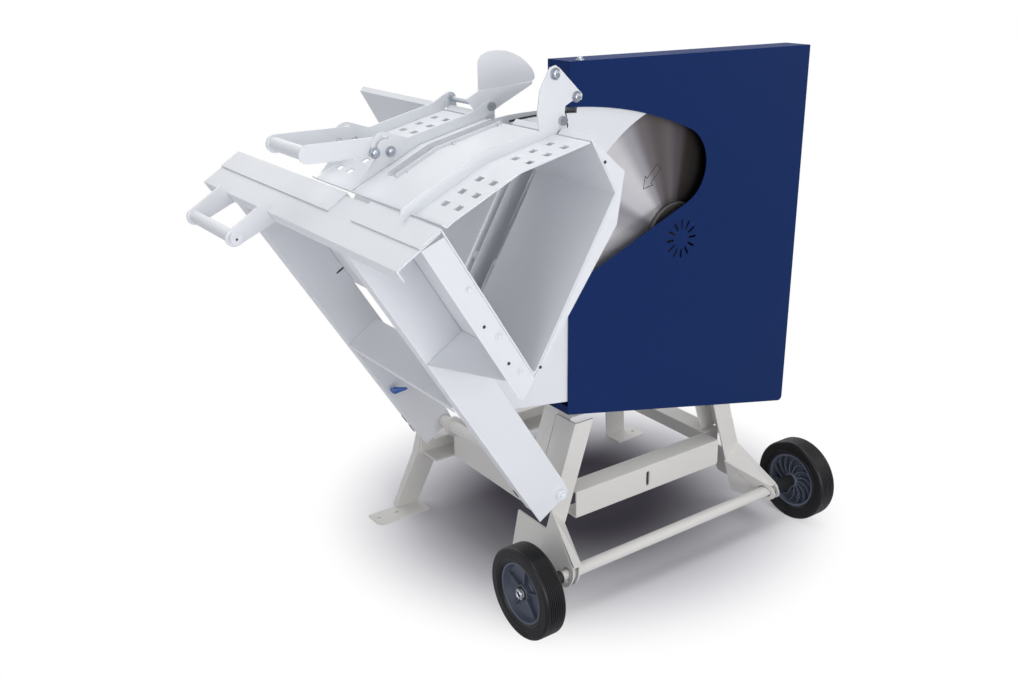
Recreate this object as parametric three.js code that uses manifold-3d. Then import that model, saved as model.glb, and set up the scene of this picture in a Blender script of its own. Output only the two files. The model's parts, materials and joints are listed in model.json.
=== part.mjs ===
// A firewood circular saw with a rocking log trough, built as a three.js scene graph.
// Lengths are millimetres. X is the feed direction, Y runs along the blade axis away from the operator's
// log end, and Z is up. Base places are measured from the middle of the wheel axle at ground level.
// Rocker pieces use the rocker's own axes: X across its legs, Z along its legs, from the rocker pivot.

import * as THREE from 'three';
import { mergeVertices } from 'three/addons/utils/BufferGeometryUtils.js';
import Module from 'manifold-3d';

const wasm = await Module();
wasm.setup();

// Shared driving dimensions
const seatGap = 0.3;
const overrun = 8;
const frameSheet = 4;
const rockerSheet = 3;
const guardSheet = 2;
const degree = Math.PI / 180;
const fullTurn = 2 * Math.PI;
const arcSteps = 5;
const roundSides = 18;
const wheelSides = 36;
const rimSides = 28;
const handleSides = 20;
const hollowSides = 80;
const knobSides = 14;
const pinSides = 8;
const discSides = 28;
const boltSides = 12;

// Wheels and axle
const wheelRadius = 100;
const tyreWidth = 50;
const tyreShoulder = 4;
const grooveDepth = 2.5;
const grooveWidth = 4;
const rimRadius = 67.5;
const rimLip = 5;
const rimLipDepth = 8;
const rimDishDepth = 13;
const rimWeb = 4;
const hubRadius = 17;
const hubInset = 4;
const spokeCount = 14;
const spokeThickness = 3;
const axleRadius = 10;
const axleRunningGap = 0.4;
const axleTubeRadius = 16;
const axleTubeInset = 12.675;
const trackLeftOut = 136;
const trackRightOut = 126;
const capRadius = 12;
const capHeight = 5;
const capRimHeight = 2;

// Base frame
const beamBottom = 160;
const beamHeight = 65;
const sideBeamWidth = 52;
const sideBeamOuter = 272;
const frontBeamNear = 90;
const frontBeamDepth = 52;
const beamSlotLength = 38;
const beamSlotWidth = 10;
const beamSlotPlace = -8;
const rearBeamNear = 512;
const rearBeamDepth = 65;
const rearBeamHalf = 326;
const nearLegWidth = 50;
const nearLegDepth = 65;
const nearLegLeanShare = 0.33;
const nearLegTop = 392;
const nearLegWaist = 202;
const axleLegNoseRadius = 25;
const axleLegNoseDrop = 6;
const axleLegBottom = 66;
const axleLegHeel = 95;
const axleLegTail = 198;
const axleLegTailWaist = 72;
const axleLegNoseWidth = 20;
const postDepth = 44;
const postTop = 640;
const farLegFootInner = 320;
const farLegFootOuter = 387;
const farLegLeanShare = 0.28;
const farLegFootFar = 626;
const farFootNear = 564;
const farFootOuterLeft = 464;
const farFootOuterRight = 417;
const farFootChamfer = 10;
const farFootHoleRadius = 5.5;
const farFootHoleFirst = 448;
const farFootHolePitch = 50;
const farFootHoleEdge = 29;
const farLegFlange = 22;

// Rocker pivot
const pivotX = -297;
const pivotZ = 265;
const pivotTubeRadius = 14;
const pivotShaftRadius = 8;
const pivotRunningGap = 0.3;
const pivotHeadRadius = 12;
const pivotHeadHeight = 7;
const pivotWasherHeight = 2;
const bracketThickness = 5;
const bracketRound = 24;
const nearBracketPlace = 212;
const farBracketPlace = 470;
const rockerTilt = 31.6;
const swingRange = 30;

// Guard
const guardLeft = -246;
const guardRight = 436;
const guardTopLeft = 1152;
const guardTopRight = 1139;
const guardBottomLeft = 421;
const guardBottomRight = 273;
const guardCornerRadius = 12;
const guardNear = 88;
const guardDepth = 68;
const guardLeftReturn = 18;
const cutTopCentreX = -290;
const cutTopCentreZ = 146;
const cutTipRadius = 86;
const cutTipReach = 129;
const cutFloorSlope = 22.3;
const chipOutletLeft = -170;
const chipOutletRight = 150;
const ventSlots = 12;
const ventInner = 22;
const ventOuter = 43;
const ventSlotWidth = 5;
const ventToCut = 28.3;

// Blade, arbor and motor
const arborX = 64;
const arborZ = 755;
const bladeRadius = 350;
const bladeNear = 116.5;
const bladeThickness = 3.2;
const bladeTeeth = 42;
const gulletDepth = 15;
const gulletLipShare = 0.024;
const gulletFloorShare = 0.36;
const gulletBackShare = 0.72;
const gulletBackDepthShare = 0.25;
const arborRadius = 15;
const flangeRadius = 78;
const flangeThickness = 10;
const flangeRecess = 3;
const flangeRimWidth = 14;
const arborNutRadius = 17;
const arborNutHeight = 9;
const arborStub = 2;
const motorRadius = 82;
const motorFin = 7;
const motorFins = 24;
const motorFinGapShare = 0.6;
const motorFinRiseShare = 0.68;
const motorFinCrestShare = 0.92;
const motorShieldShare = 0.55;
const motorFootTopShare = 0.7;
const motorNear = 178;
const motorLength = 205;
const motorFrontDepth = 14;
const fanCoverLength = 58;
const fanCoverRound = 12;
const fanSlots = 16;
const fanSlotInnerShare = 0.28;
const fanSlotOuterShare = 0.72;
const terminalHalfShare = 0.55;
const terminalStartShare = 0.3;
const terminalLengthShare = 1.6;
const motorFootHeight = 12;
const motorFootSpread = 90;
const motorFootLength = 150;
const motorFootWall = 12;
const consoleHalf = 150;
const consoleFold = 30;
const consoleFar = 420;
const shaftHoleRadius = 34;

// Switch box on the back of the guard
const switchX = 255;
const switchZ = 620;
const switchWidth = 96;
const switchHeight = 150;
const switchDepth = 62;
const switchRound = 10;
const buttonRadius = 15;
const buttonHeight = 9;
const stopButtonRise = 0.6;
const buttonTravel = 4;
const buttonPitch = 46;
const buttonWellDepth = 12;
const inletRadius = 27;
const inletLength = 46;
const inletBore = 19;
const inletPinRadius = 2.4;
const inletPinLength = 22;
const inletPinRing = 11;
const inletPins = 5;

// Rocker
const legInner = 22.7;
const legOuter = -71;
const legFoot = -15;
const legLobeRadius = 20;
const legFlangeDepth = 29.4;
const legFlangeStart = 24;
const legOvalPitch = 48;
const nearLegWebY = 50;
const farLegWebY = 514;
const topPlateHigh = 785;
const topPlateInner = 22;
const topPlateLip = 25;
const troughNearEnd = -150;
const troughFarEnd = 676;
const troughSlotNear = 83;
const troughSlotFar = 165;
const troughFlangeEdge = -23;
const troughWallInner = 26;
const troughRootHeight = 448;
const troughFloorEndX = 331;
const troughFloorEndZ = 607;
const troughRightX = 335;
const troughRightZ = 717;
const troughLip = 12;
const troughFold = 5;
const gableFoot = 15;
const gableRootStep = 3.87;
const gableTurnBack = 27;
const gableTurnDrop = 53;
const gableSideOut = 32;
const gableSideRise = 19;
const gableTip = 1;
const shelfHeight = 345;
const shelfOuter = -78;
const shelfInner = 15;
const shelfLip = 14;
const gussetRise = 33;
const gussetTaper = -25;
const coverNear = 92;
const coverSheet = 2;
const coverFar = 146;
const coverTopStep = 2.2;
const coverShoulderStep = 26;
const coverShoulderTurn = 11.4;
const coverArborRadius = 300;
const coverBottomLeftX = 36;
const coverBottomLeftZ = 219;
const coverBottomSlope = -40;
const coverBottomRun = 114;
const coverTopSpread = 28;
const coverLeftX = -2;
const coverHeel = 45;
const coverSlotMargin = 26;
const spacerRadius = 9;
const spacerDrop = 14;
const spacerFloorShare = 0.472;
const spacerWallShare = 0.373;
const edgeStripHeight = 3;
const edgeStripWidth = 3;
const lowerBarX = -155;
const lowerBarZ = 789;
const handleRadius = 12.5;
const lowerBarNear = 324;
const lowerBarFar = 560;
const handleArmSheet = 5;
const handleArmRound = 17;
const knobX = -62;
const knobZ = 180;
const knobRadius = 9;
const knobLength = 46;
const knobTurn = -144;
const knobReach = 14;
const knobStemRadius = 5;
const knobProfileShares = [[0, 0], [0.7, 0.049], [1, 0.196], [0.75, 0.391], [0.4, 0.85], [0, 1]];

// Hold-down
const hingeX = 357;
const hingeZ = 728;
const hingeBoltRadius = 5;
const holdNear = -150;
const holdFlangeY = -50;
const holdSlotFar = 168;
const holdFar = 315;
const holdCurlX = 35;
const holdCurlZ = 786;
const holdCurlBack = 4;
const holdBendX = 192;
const holdBendZ = 766;
const holdEndX = 331;
const holdEndZ = 718;
const holdSheet = 2.5;
const holdFlangeHigh = 25;
const holdFlangeEdge = 12;
const bracketReach = 60;
const bracketHigh = 92;
const bracketOutlineShares = [
  [-0.817, 0.152], [-0.617, 0.457], [-0.2, 0.783], [0.25, 0.946], [0.433, 1], [0.633, 0.957],
  [0.717, 0.837], [1, 0.13], [0.9, 0.054], [0.75, 0.076], [0.617, 0.163], [0.317, 0.185], [0.2, 0.098],
  [0.15, -0.065], [0, -0.141], [-0.183, -0.13],
];
const bladeSlotNear = 104;
const bladeSlotWidth = 28;
const bladeSlotStart = 98;
const bladeSlotLip = 7;
const holeLong = 18;
const holeWide = 13;
const holePlaceShares = [0.236, 0.347, 0.459, 0.686, 0.792, 0.897];
const holeRowFirst = 25;
const holeRowPitch = 41;
const liftRange = 55;
const armSheet = 4;
const armLobeRadius = 25;
const armLobeX = 132;
const armLobeRise = 36.4;
const armSlotDrop = 4;
const armSlotHalf = 3;
const armSlotShare = 0.75;
const armGripX = 7;
const armGripRise = 102;
const armGripRound = 17;
const earSheet = 4;
const earRound = 13;
const finSheet = 2;
const finReach = 114;
const finHigh = 93;
const finOutlineShares = [
  [-0.044, 0.462, 0.018], [0.211, 1, 0.07], [0.553, 0.839, 0.263], [0.833, 0.559, 0.175],
  [0.991, 0.129, 0.123], [1, -0.14, 0.026], [0.728, -0.129, 0.026], [0.096, -0.065, 0.035],
  [0.132, 0.183, 0.026],
];
const hingeHeadShare = 1.7;
const hingeHeadHighShare = 1.2;

// Looks
const look = (colour, roughness, metalness) =>
  new THREE.MeshStandardMaterial({ color: colour, roughness, metalness });
const frameGrey = look('#cbcac6', 0.5, 0.1);
const rockerWhite = look('#e6e8ec', 0.45, 0.1);
const guardBlue = look('#1b325f', 0.42, 0.1);
const tyreBlack = look('#1d1d1f', 0.85, 0);
const rimSlate = look('#3b4252', 0.5, 0);
const zinc = look('#c9ccd0', 0.3, 0.9);
const bladeSteel = look('#b3b0aa', 0.28, 1);
const black = look('#1a1b1d', 0.6, 0);
const motorGrey = look('#777b80', 0.5, 0.3);
const knobBlue = look('#2157a8', 0.4, 0);
const startGreen = look('#1f8a45', 0.4, 0);
const stopRed = look('#c02a24', 0.4, 0);
const inletBlue = look('#1f4fa0', 0.45, 0);

// Turns a closed geometry into a solid that can be joined and cut
function toSolid(geometry) {
  const bare = geometry.clone();
  bare.deleteAttribute('normal');
  bare.deleteAttribute('uv');
  const merged = mergeVertices(bare);
  const vertProperties = new Float32Array(merged.attributes.position.array);
  const triVerts = new Uint32Array(merged.index.array);
  return new wasm.Manifold(new wasm.Mesh({ numProp: 3, vertProperties, triVerts }));
}

function toGeometry(solid) {
  const made = solid.getMesh();
  const geometry = new THREE.BufferGeometry();
  geometry.setAttribute('position', new THREE.BufferAttribute(new Float32Array(made.vertProperties), 3));
  geometry.setIndex(new THREE.BufferAttribute(new Uint32Array(made.triVerts), 1));
  geometry.computeVertexNormals();
  return geometry;
}

function join(solids) {
  return solids.reduce((whole, piece) => whole.add(piece));
}

function cut(solid, cutters) {
  return cutters.reduce((whole, piece) => whole.subtract(piece), solid);
}

function piece(name, solid, material) {
  const mesh = new THREE.Mesh(toGeometry(solid), material);
  mesh.name = name;
  return mesh;
}

// Points along an arc, angles in degrees from the first axis towards the second
function arc(centreA, centreB, radius, from, to, steps = arcSteps) {
  const points = [];
  for (let i = 0; i <= steps; i++) {
    const angle = (from + ((to - from) * i) / steps) * degree;
    points.push([centreA + radius * Math.cos(angle), centreB + radius * Math.sin(angle)]);
  }
  return points;
}

// Rounds the corners of an outline: each point is [a, b] or [a, b, radius]
function rounded(points) {
  const out = [];
  points.forEach(([a, b, radius], i) => {
    if (!radius) {
      out.push([a, b]);
      return;
    }
    const corner = new THREE.Vector2(a, b);
    const before = new THREE.Vector2(...points.at(i - 1).slice(0, 2)).sub(corner).normalize();
    const after = new THREE.Vector2(...points[(i + 1) % points.length].slice(0, 2)).sub(corner).normalize();
    const half = Math.acos(THREE.MathUtils.clamp(before.dot(after), -1, 1)) / 2;
    const centre = before.clone().add(after).normalize().multiplyScalar(radius / Math.sin(half)).add(corner);
    const start = before.clone().multiplyScalar(radius / Math.tan(half)).add(corner).sub(centre);
    const end = after.clone().multiplyScalar(radius / Math.tan(half)).add(corner).sub(centre);
    let turn = end.angle() - start.angle();
    if (turn > Math.PI) turn -= fullTurn;
    if (turn < -Math.PI) turn += fullTurn;
    const from = start.angle() / degree;
    out.push(...arc(centre.x, centre.y, radius, from, from + turn / degree, arcSteps - 1));
  });
  return out;
}

// Outline of a folded sheet: its path, and the path shifted sideways by the sheet's thickness
function folded(path, thickness) {
  const shifted = path.map((point, i) => {
    const here = new THREE.Vector2(...point);
    const normals = [];
    if (i > 0) normals.push(here.clone().sub(new THREE.Vector2(...path[i - 1])).normalize());
    if (i < path.length - 1) normals.push(new THREE.Vector2(...path[i + 1]).sub(here).normalize());
    const sides = normals.map((along) => new THREE.Vector2(-along.y, along.x));
    const mitre = sides.reduce((sum, side) => sum.add(side), new THREE.Vector2()).normalize();
    return here.add(mitre.multiplyScalar(thickness / mitre.dot(sides[0]))).toArray();
  });
  return [...path, ...shifted.reverse()];
}

function extruded(points, depth) {
  const shape = new THREE.Shape(points.map(([a, b]) => new THREE.Vector2(a, b)));
  return new THREE.ExtrudeGeometry(shape, { depth, bevelEnabled: false });
}

// Outline in X and Z, swept from one Y to another
function alongY(points, from, to) {
  return toSolid(extruded(points, to - from).rotateX(Math.PI / 2).translate(0, to, 0));
}

// Outline in Y and Z, swept from one X to another
function alongX(points, from, to) {
  const turn = new THREE.Matrix4().makeBasis(
    new THREE.Vector3(0, 1, 0), new THREE.Vector3(0, 0, 1), new THREE.Vector3(1, 0, 0));
  return toSolid(extruded(points, to - from).applyMatrix4(turn).translate(from, 0, 0));
}

// Outline in X and Y, swept from one Z to another
function alongZ(points, from, to) {
  return toSolid(extruded(points, to - from).translate(0, 0, from));
}

function block(x0, x1, y0, y1, z0, z1) {
  const size = [Math.abs(x1 - x0), Math.abs(y1 - y0), Math.abs(z1 - z0)];
  const box = new THREE.BoxGeometry(...size);
  return toSolid(box.translate((x0 + x1) / 2, (y0 + y1) / 2, (z0 + z1) / 2));
}

function rodY(x, z, radius, from, to, sides = roundSides) {
  const rod = new THREE.CylinderGeometry(radius, radius, to - from, sides);
  return toSolid(rod.translate(x, (from + to) / 2, z));
}

function rodX(y, z, radius, from, to, sides = roundSides) {
  const rod = new THREE.CylinderGeometry(radius, radius, Math.abs(to - from), sides);
  return toSolid(rod.rotateZ(-Math.PI / 2).translate((from + to) / 2, y, z));
}

function rodZ(x, y, radius, from, to, sides = roundSides) {
  const rod = new THREE.CylinderGeometry(radius, radius, to - from, sides);
  return toSolid(rod.rotateX(Math.PI / 2).translate(x, y, (from + to) / 2));
}

// Profile of [radius, along] points turned about a line along Y
function turnedY(profile, x, z, sides = roundSides) {
  const lathe = new THREE.LatheGeometry(profile.map(([r, h]) => new THREE.Vector2(r, h)), sides);
  return toSolid(lathe.translate(x, 0, z));
}

// Profile of [radius, along] points turned about a line along X, along pointing to the given side
function turnedX(profile, y, z, side, sides = roundSides) {
  const lathe = new THREE.LatheGeometry(profile.map(([r, h]) => new THREE.Vector2(r, h)), sides);
  return toSolid(lathe.rotateZ((-side * Math.PI) / 2).translate(0, y, z));
}

// A solid between two four-sided faces, each given as four corners in the same order
function between(first, second) {
  const geometry = new THREE.BufferGeometry();
  const corners = [...first, ...second].flat();
  geometry.setAttribute('position', new THREE.BufferAttribute(new Float32Array(corners), 3));
  geometry.setIndex([0, 2, 1, 0, 3, 2, 4, 5, 6, 4, 6, 7, 0, 1, 5, 0, 5, 4, 1, 2, 6, 1, 6, 5,
    2, 3, 7, 2, 7, 6, 3, 0, 4, 3, 4, 7]);
  return toSolid(geometry);
}

const beamTop = beamBottom + beamHeight;
const topPlateOuter = legOuter - seatGap - rockerSheet;
const frontBeamFar = frontBeamNear + frontBeamDepth;
const rearBeamFar = rearBeamNear + rearBeamDepth;
const sideBeamInner = sideBeamOuter - sideBeamWidth;
const guardFar = guardNear + guardDepth;
const postNear = guardFar + guardSheet + 2 * seatGap;

// Outer edge of the leaning near legs at a height
const nearLegEdge = (z) => sideBeamOuter - nearLegLeanShare * (z - (beamTop + frontBeamNear / 4));

// Outline of a band of a given width inside that edge, between two heights
function leaningBand(side, width, from, to) {
  return [[side * nearLegEdge(from), from], [side * nearLegEdge(to), to],
    [side * (nearLegEdge(to) - width), to], [side * (nearLegEdge(from) - width), from]];
}

// Axle tube inside the near legs' outer plates, and each wheel's outer face beyond it
const axleTubeHalf = nearLegEdge(wheelRadius) - axleTubeInset;
const trackLeft = axleTubeHalf + trackLeftOut;
const trackRight = axleTubeHalf + trackRightOut;

// Wheels: tyre, rim with radial ribs, and push cap
function wheel(side) {
  const track = side > 0 ? trackRight : trackLeft;
  const middle = side * (track - tyreWidth / 2);
  const tyreHalf = tyreWidth / 2;
  const treadHalf = tyreHalf - tyreShoulder;
  const grooveHalf = grooveWidth / 2;
  const treadFloor = wheelRadius - grooveDepth;
  const tyreProfile = [[rimRadius, -tyreHalf + rimLip], [rimRadius + rimLip, -tyreHalf],
    [wheelRadius - tyreShoulder, -tyreHalf], [wheelRadius, -treadHalf]];
  [-treadHalf / 2, treadHalf / 2].forEach((groove) => {
    tyreProfile.push([wheelRadius, groove - grooveHalf], [treadFloor, groove - grooveHalf],
      [treadFloor, groove + grooveHalf], [wheelRadius, groove + grooveHalf]);
  });
  tyreProfile.push([wheelRadius, treadHalf], [wheelRadius - tyreShoulder, tyreHalf],
    [rimRadius + rimLip, tyreHalf], [rimRadius, tyreHalf - rimLip], [rimRadius, -tyreHalf + rimLip]);
  const tyre = turnedX(tyreProfile, 0, wheelRadius, side, wheelSides);

  const rimHalf = tyreHalf - rimLip;
  const wellRadius = rimRadius - rimLip;
  const hubHalf = tyreHalf - hubInset;
  const bore = axleRadius + axleRunningGap;
  const webOut = rimHalf - rimDishDepth;
  const rimProfile = [[bore, -hubHalf], [hubRadius, -hubHalf], [hubRadius, webOut - rimWeb],
    [wellRadius, webOut - rimWeb], [wellRadius, -rimHalf], [rimRadius - seatGap, -rimHalf],
    [rimRadius - seatGap, rimHalf], [wellRadius, rimHalf], [wellRadius, webOut],
    [hubRadius, webOut], [hubRadius, hubHalf], [bore, hubHalf], [bore, -hubHalf]];
  const rimBody = turnedX(rimProfile, 0, wheelRadius, side, rimSides);
  const ribs = [];
  const ribFoot = hubRadius - spokeThickness;
  for (let i = 0; i < spokeCount; i++) {
    const rib = new THREE.BoxGeometry(2 * rimLipDepth + rimWeb, spokeThickness,
      wellRadius - ribFoot + rimLip / 2);
    rib.translate(side * (webOut - rimWeb / 2), 0, (wellRadius + ribFoot + rimLip / 2) / 2);
    rib.rotateX((fullTurn * i) / spokeCount);
    ribs.push(toSolid(rib.translate(0, 0, wheelRadius)));
  }
  const rim = join([rimBody, ...ribs]);

  const capStart = hubHalf + seatGap;
  const capProfile = [[0, capStart], [capRadius, capStart], [capRadius, capStart + capRimHeight],
    [capRadius - capRimHeight, capStart + capHeight], [0, capStart + capHeight]];
  const cap = turnedX(capProfile, 0, wheelRadius, side);
  const place = side > 0 ? 'right' : 'left';
  return [
    piece(`tyre_${place}`, tyre, tyreBlack),
    piece(`rim_${place}`, rim, rimSlate),
    piece(`hub_cap_${place}`, cap, zinc),
  ].map((mesh) => {
    mesh.position.x = middle;
    return mesh;
  });
}

// Axle: a tube between the axle legs with a thinner journal out to each wheel
function axle() {
  const leftEnd = hubInset - trackLeft;
  const rightEnd = trackRight - hubInset;
  const profile = [[0, leftEnd], [axleRadius, leftEnd], [axleRadius, -axleTubeHalf],
    [axleTubeRadius, -axleTubeHalf], [axleTubeRadius, axleTubeHalf], [axleRadius, axleTubeHalf],
    [axleRadius, rightEnd], [0, rightEnd]];
  return piece('axle', turnedX(profile, 0, wheelRadius, 1), frameGrey);
}

// Front beam: a channel open to the back with one upright slot
function frontBeam() {
  const half = sideBeamInner - seatGap;
  const section = folded([[frontBeamFar, beamBottom], [frontBeamNear, beamBottom],
    [frontBeamNear, beamTop], [frontBeamFar, beamTop]], -frameSheet);
  const slotMiddle = (beamBottom + beamTop) / 2;
  const slotHalf = (beamSlotLength - beamSlotWidth) / 2;
  const slotOutline = [...arc(beamSlotPlace, slotMiddle + slotHalf, beamSlotWidth / 2, 0, 180),
    ...arc(beamSlotPlace, slotMiddle - slotHalf, beamSlotWidth / 2, 180, 360)];
  const slot = alongY(slotOutline, frontBeamNear - overrun, frontBeamNear + overrun);
  return piece('front_beam', cut(alongX(section, -half, half), [slot]), frameGrey);
}

// Side beam: an angle with its top and outer side, open to the middle
function sideBeam(side) {
  const path = [[side * sideBeamOuter, beamBottom], [side * sideBeamOuter, beamTop],
    [side * sideBeamInner, beamTop]];
  const body = alongY(folded(path, side * frameSheet), frontBeamFar + seatGap, rearBeamNear - seatGap);
  return piece(`side_beam_${side > 0 ? 'right' : 'left'}`, body, frameGrey);
}

function rearBeam() {
  const section = folded([[rearBeamNear, beamBottom], [rearBeamFar, beamBottom],
    [rearBeamFar, beamTop], [rearBeamNear, beamTop]], frameSheet);
  return piece('rear_beam', alongX(section, -rearBeamHalf, rearBeamHalf), frameGrey);
}

// Near leg: a leaning web with a deep outer side plate behind the guard's lower edge, and below it a
// tapering box leg out to the axle, all on one leaning outer plane
function nearLeg(side) {
  const webNear = guardNear + guardSheet + seatGap;
  const web = alongY(leaningBand(side, nearLegWidth, beamBottom, nearLegTop), webNear,
    webNear + frameSheet);
  const flank = alongY(leaningBand(side, frameSheet, nearLegWaist, nearLegTop), webNear,
    webNear + nearLegDepth);

  const noseY = -axleLegNoseRadius + axleLegNoseDrop;
  const offset = (y) => axleLegNoseWidth + ((nearLegWidth - axleLegNoseWidth) * (y - noseY)) / (webNear - noseY);
  const leaning = (outline, insets) => {
    const plate = extruded(outline, frameSheet);
    const position = plate.attributes.position;
    for (let i = 0; i < position.count; i++) {
      const y = position.getX(i);
      const z = position.getY(i);
      const x = nearLegEdge(z) - insets(y) + position.getZ(i) - frameSheet;
      position.setXYZ(i, side * x, y, z);
    }
    if (side > 0) return toSolid(plate);
    const index = [];
    for (let i = 0; i < position.count; i += 3) index.push(i, i + 2, i + 1);
    plate.setIndex(index);
    return toSolid(plate);
  };
  const nose = arc(0, wheelRadius, axleLegNoseRadius, 110, 260, 2 * arcSteps);
  const heel = [axleLegHeel - axleLegNoseRadius, axleLegBottom];
  const webFar = webNear + frameSheet;
  const outer = leaning([[webFar, nearLegWaist], ...nose, heel,
    [axleLegTail - axleLegNoseRadius / 2, axleLegTailWaist],
    [axleLegTail, beamBottom], [webFar, beamBottom]], () => 0);
  const inner = leaning([[webFar, beamBottom], ...nose, heel, [axleLegHeel, axleLegBottom]],
    (y) => offset(y) - frameSheet);
  const noseTop = wheelRadius + axleLegNoseRadius;
  const slopeTop = (y, top) => noseTop + ((top - noseTop) * (y - noseY)) / (webFar - noseY);
  const corner = (y, inset, top) => {
    const z = slopeTop(y, top);
    return [side * (nearLegEdge(z) - inset), y, z];
  };
  const high = [corner(webFar, 0, nearLegWaist), corner(webFar, offset(webFar), beamBottom),
    corner(noseY, offset(noseY), beamBottom), corner(noseY, 0, nearLegWaist)];
  const low = high.map(([x, y, z]) => [x, y, z - frameSheet]);
  const top = side > 0 ? between(low, high) : between(high, low);
  const hole = rodX(0, wheelRadius, axleTubeRadius + seatGap, side * sideBeamInner,
    side * (trackRight - tyreWidth));
  return piece(`near_leg_${side > 0 ? 'right' : 'left'}`,
    cut(join([web, flank, outer, inner, top]), [hole]),
    frameGrey);
}

// Post behind the guard that carries the motor console
function post(side) {
  const foot = beamTop + seatGap;
  const web = alongY(leaningBand(side, nearLegWidth, foot, postTop), postNear, postNear + frameSheet);
  const flank = alongY(leaningBand(side, frameSheet, foot, postTop), postNear, postNear + postDepth);
  return piece(`console_post_${side > 0 ? 'right' : 'left'}`, join([web, flank]), frameGrey);
}

// Motor console: a plate with folds, resting on the two posts
function motorConsole() {
  const path = [[-consoleHalf, postTop + seatGap - consoleFold],
    [-consoleHalf, postTop + seatGap + frameSheet],
    [consoleHalf, postTop + seatGap + frameSheet], [consoleHalf, postTop + seatGap - consoleFold]];
  const folds = folded(path, -frameSheet);
  const body = alongY(folds, postNear, consoleFar);
  const frontRoom = block(-consoleHalf - overrun, consoleHalf + overrun, postNear - overrun,
    postNear + postDepth + seatGap, postTop - consoleFold - overrun, postTop + seatGap);
  return piece('motor_console', cut(body, [frontRoom]), frameGrey);
}

// Far leg: a leaning web with an outer fold, its foot folded forward onto the ground
function farLeg(side) {
  const top = beamTop;
  const bend = beamBottom;
  const near = rearBeamFar + seatGap;
  const path = [[near, top], [near, bend], [farLegFootFar - frameSheet, 0], [farFootNear, 0]];
  const sheet = folded(path, frameSheet);
  const footOuter = side < 0 ? farFootOuterLeft : farFootOuterRight;
  const profile = alongX(sheet, Math.min(side * footOuter, side * sideBeamInner / 2),
    Math.max(side * footOuter, side * sideBeamInner / 2));
  const shift = farLegLeanShare * top;
  const front = [[farLegFootInner, frameSheet], [farLegFootInner - shift, top],
    [farLegFootOuter - shift, top], [farLegFootOuter, frameSheet]];
  const webOutline = front.map(([x, z]) => [side * x, z]);
  const webRoom = alongY(webOutline, rearBeamNear, farLegFootFar + overrun);
  const web = profile.intersect(webRoom);
  const edge = [[farLegFootOuter, frameSheet], [farLegFootOuter - shift, top],
    [farLegFootOuter - frameSheet - shift, top], [farLegFootOuter - frameSheet, frameSheet]];
  const fold = alongY(edge.map(([x, z]) => [side * x, z]), rearBeamNear, farLegFootFar + farLegFlange);
  const foldSide = alongX([[near, top], [near, bend], [farLegFootFar - frameSheet, frameSheet],
    [farLegFootFar + farLegFlange / 2, frameSheet], [near + farLegFlange, bend],
      [near + farLegFlange, top]],
    Math.min(side * farLegFootOuter, side * sideBeamInner),
      Math.max(side * farLegFootOuter, side * sideBeamInner));
  const foot = alongZ(rounded([[farLegFootInner, farFootNear], [footOuter - farFootChamfer, farFootNear],
    [footOuter, farFootNear + farFootChamfer], [footOuter, farLegFootFar],
    [farLegFootInner, farLegFootFar]].map(([x, y]) => [side * x, y])), 0, frameSheet);
  const holes = [0, 1].map((i) => rodZ(side * (farFootHoleFirst - i * farFootHolePitch),
    farLegFootFar - farFootHoleEdge, farFootHoleRadius, -overrun, overrun, boltSides));
  return piece(`far_leg_${side > 0 ? 'right' : 'left'}`,
    cut(join([web, fold.intersect(foldSide), foot]), holes),
    frameGrey);
}

// Pivot tube across the frame, held by two brackets on the left side beam
function pivotTube() {
  const from = nearLegWebY + rockerSheet + pivotWasherHeight;
  const to = farLegWebY - pivotWasherHeight;
  const tube = rodY(pivotX, pivotZ, pivotTubeRadius, from, to);
  const bore = rodY(pivotX, pivotZ, pivotShaftRadius + pivotRunningGap, from - overrun, to + overrun);
  return piece('pivot_tube', cut(tube, [bore]), frameGrey);
}

function pivotBracket(name, near) {
  const footZ = beamTop + seatGap;
  const footRight = -sideBeamInner - frameSheet;
  const footLeft = -sideBeamOuter + frameSheet;
  const outline = [[footRight, footZ], ...arc(pivotX, pivotZ, bracketRound, 60, 250, 2 * arcSteps),
    [footLeft, footZ]];
  const plate = alongY(outline, near, near + bracketThickness);
  const hole = rodY(pivotX, pivotZ, pivotTubeRadius + seatGap, near - overrun,
    near + bracketThickness + overrun);
  return piece(name, cut(plate, [hole]), frameGrey);
}

function pivotShaft() {
  const nearFace = nearLegWebY - seatGap;
  const farFace = farLegWebY + rockerSheet + seatGap;
  const profile = [[0, nearFace - pivotHeadHeight], [pivotHeadRadius, nearFace - pivotHeadHeight],
    [pivotHeadRadius, nearFace], [pivotShaftRadius, nearFace], [pivotShaftRadius, farFace],
    [pivotHeadRadius, farFace], [pivotHeadRadius, farFace + pivotHeadHeight],
      [0, farFace + pivotHeadHeight]];
  return piece('pivot_shaft', turnedY(profile, 0, 0), zinc);
}

// Round tip of the guard's opening, clear of the vent, and the arch that runs on from it
const cutTipX = cutTipReach - cutTipRadius;
const cutTipZ = arborZ + ventOuter + ventToCut + cutTipRadius;
const cutTopRadius = Math.hypot(cutTipX - cutTopCentreX, cutTipZ - cutTopCentreZ) + cutTipRadius;

// Guard outline in X and Z, drawn in by an amount
function guardOutline(inset = 0) {
  const radius = guardCornerRadius - inset;
  return rounded([[guardLeft + inset, guardTopLeft - inset], [guardLeft + inset, guardBottomLeft + inset],
    [guardRight - inset, guardBottomRight + inset, radius], [guardRight - inset, guardTopRight - inset]]);
}

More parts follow.
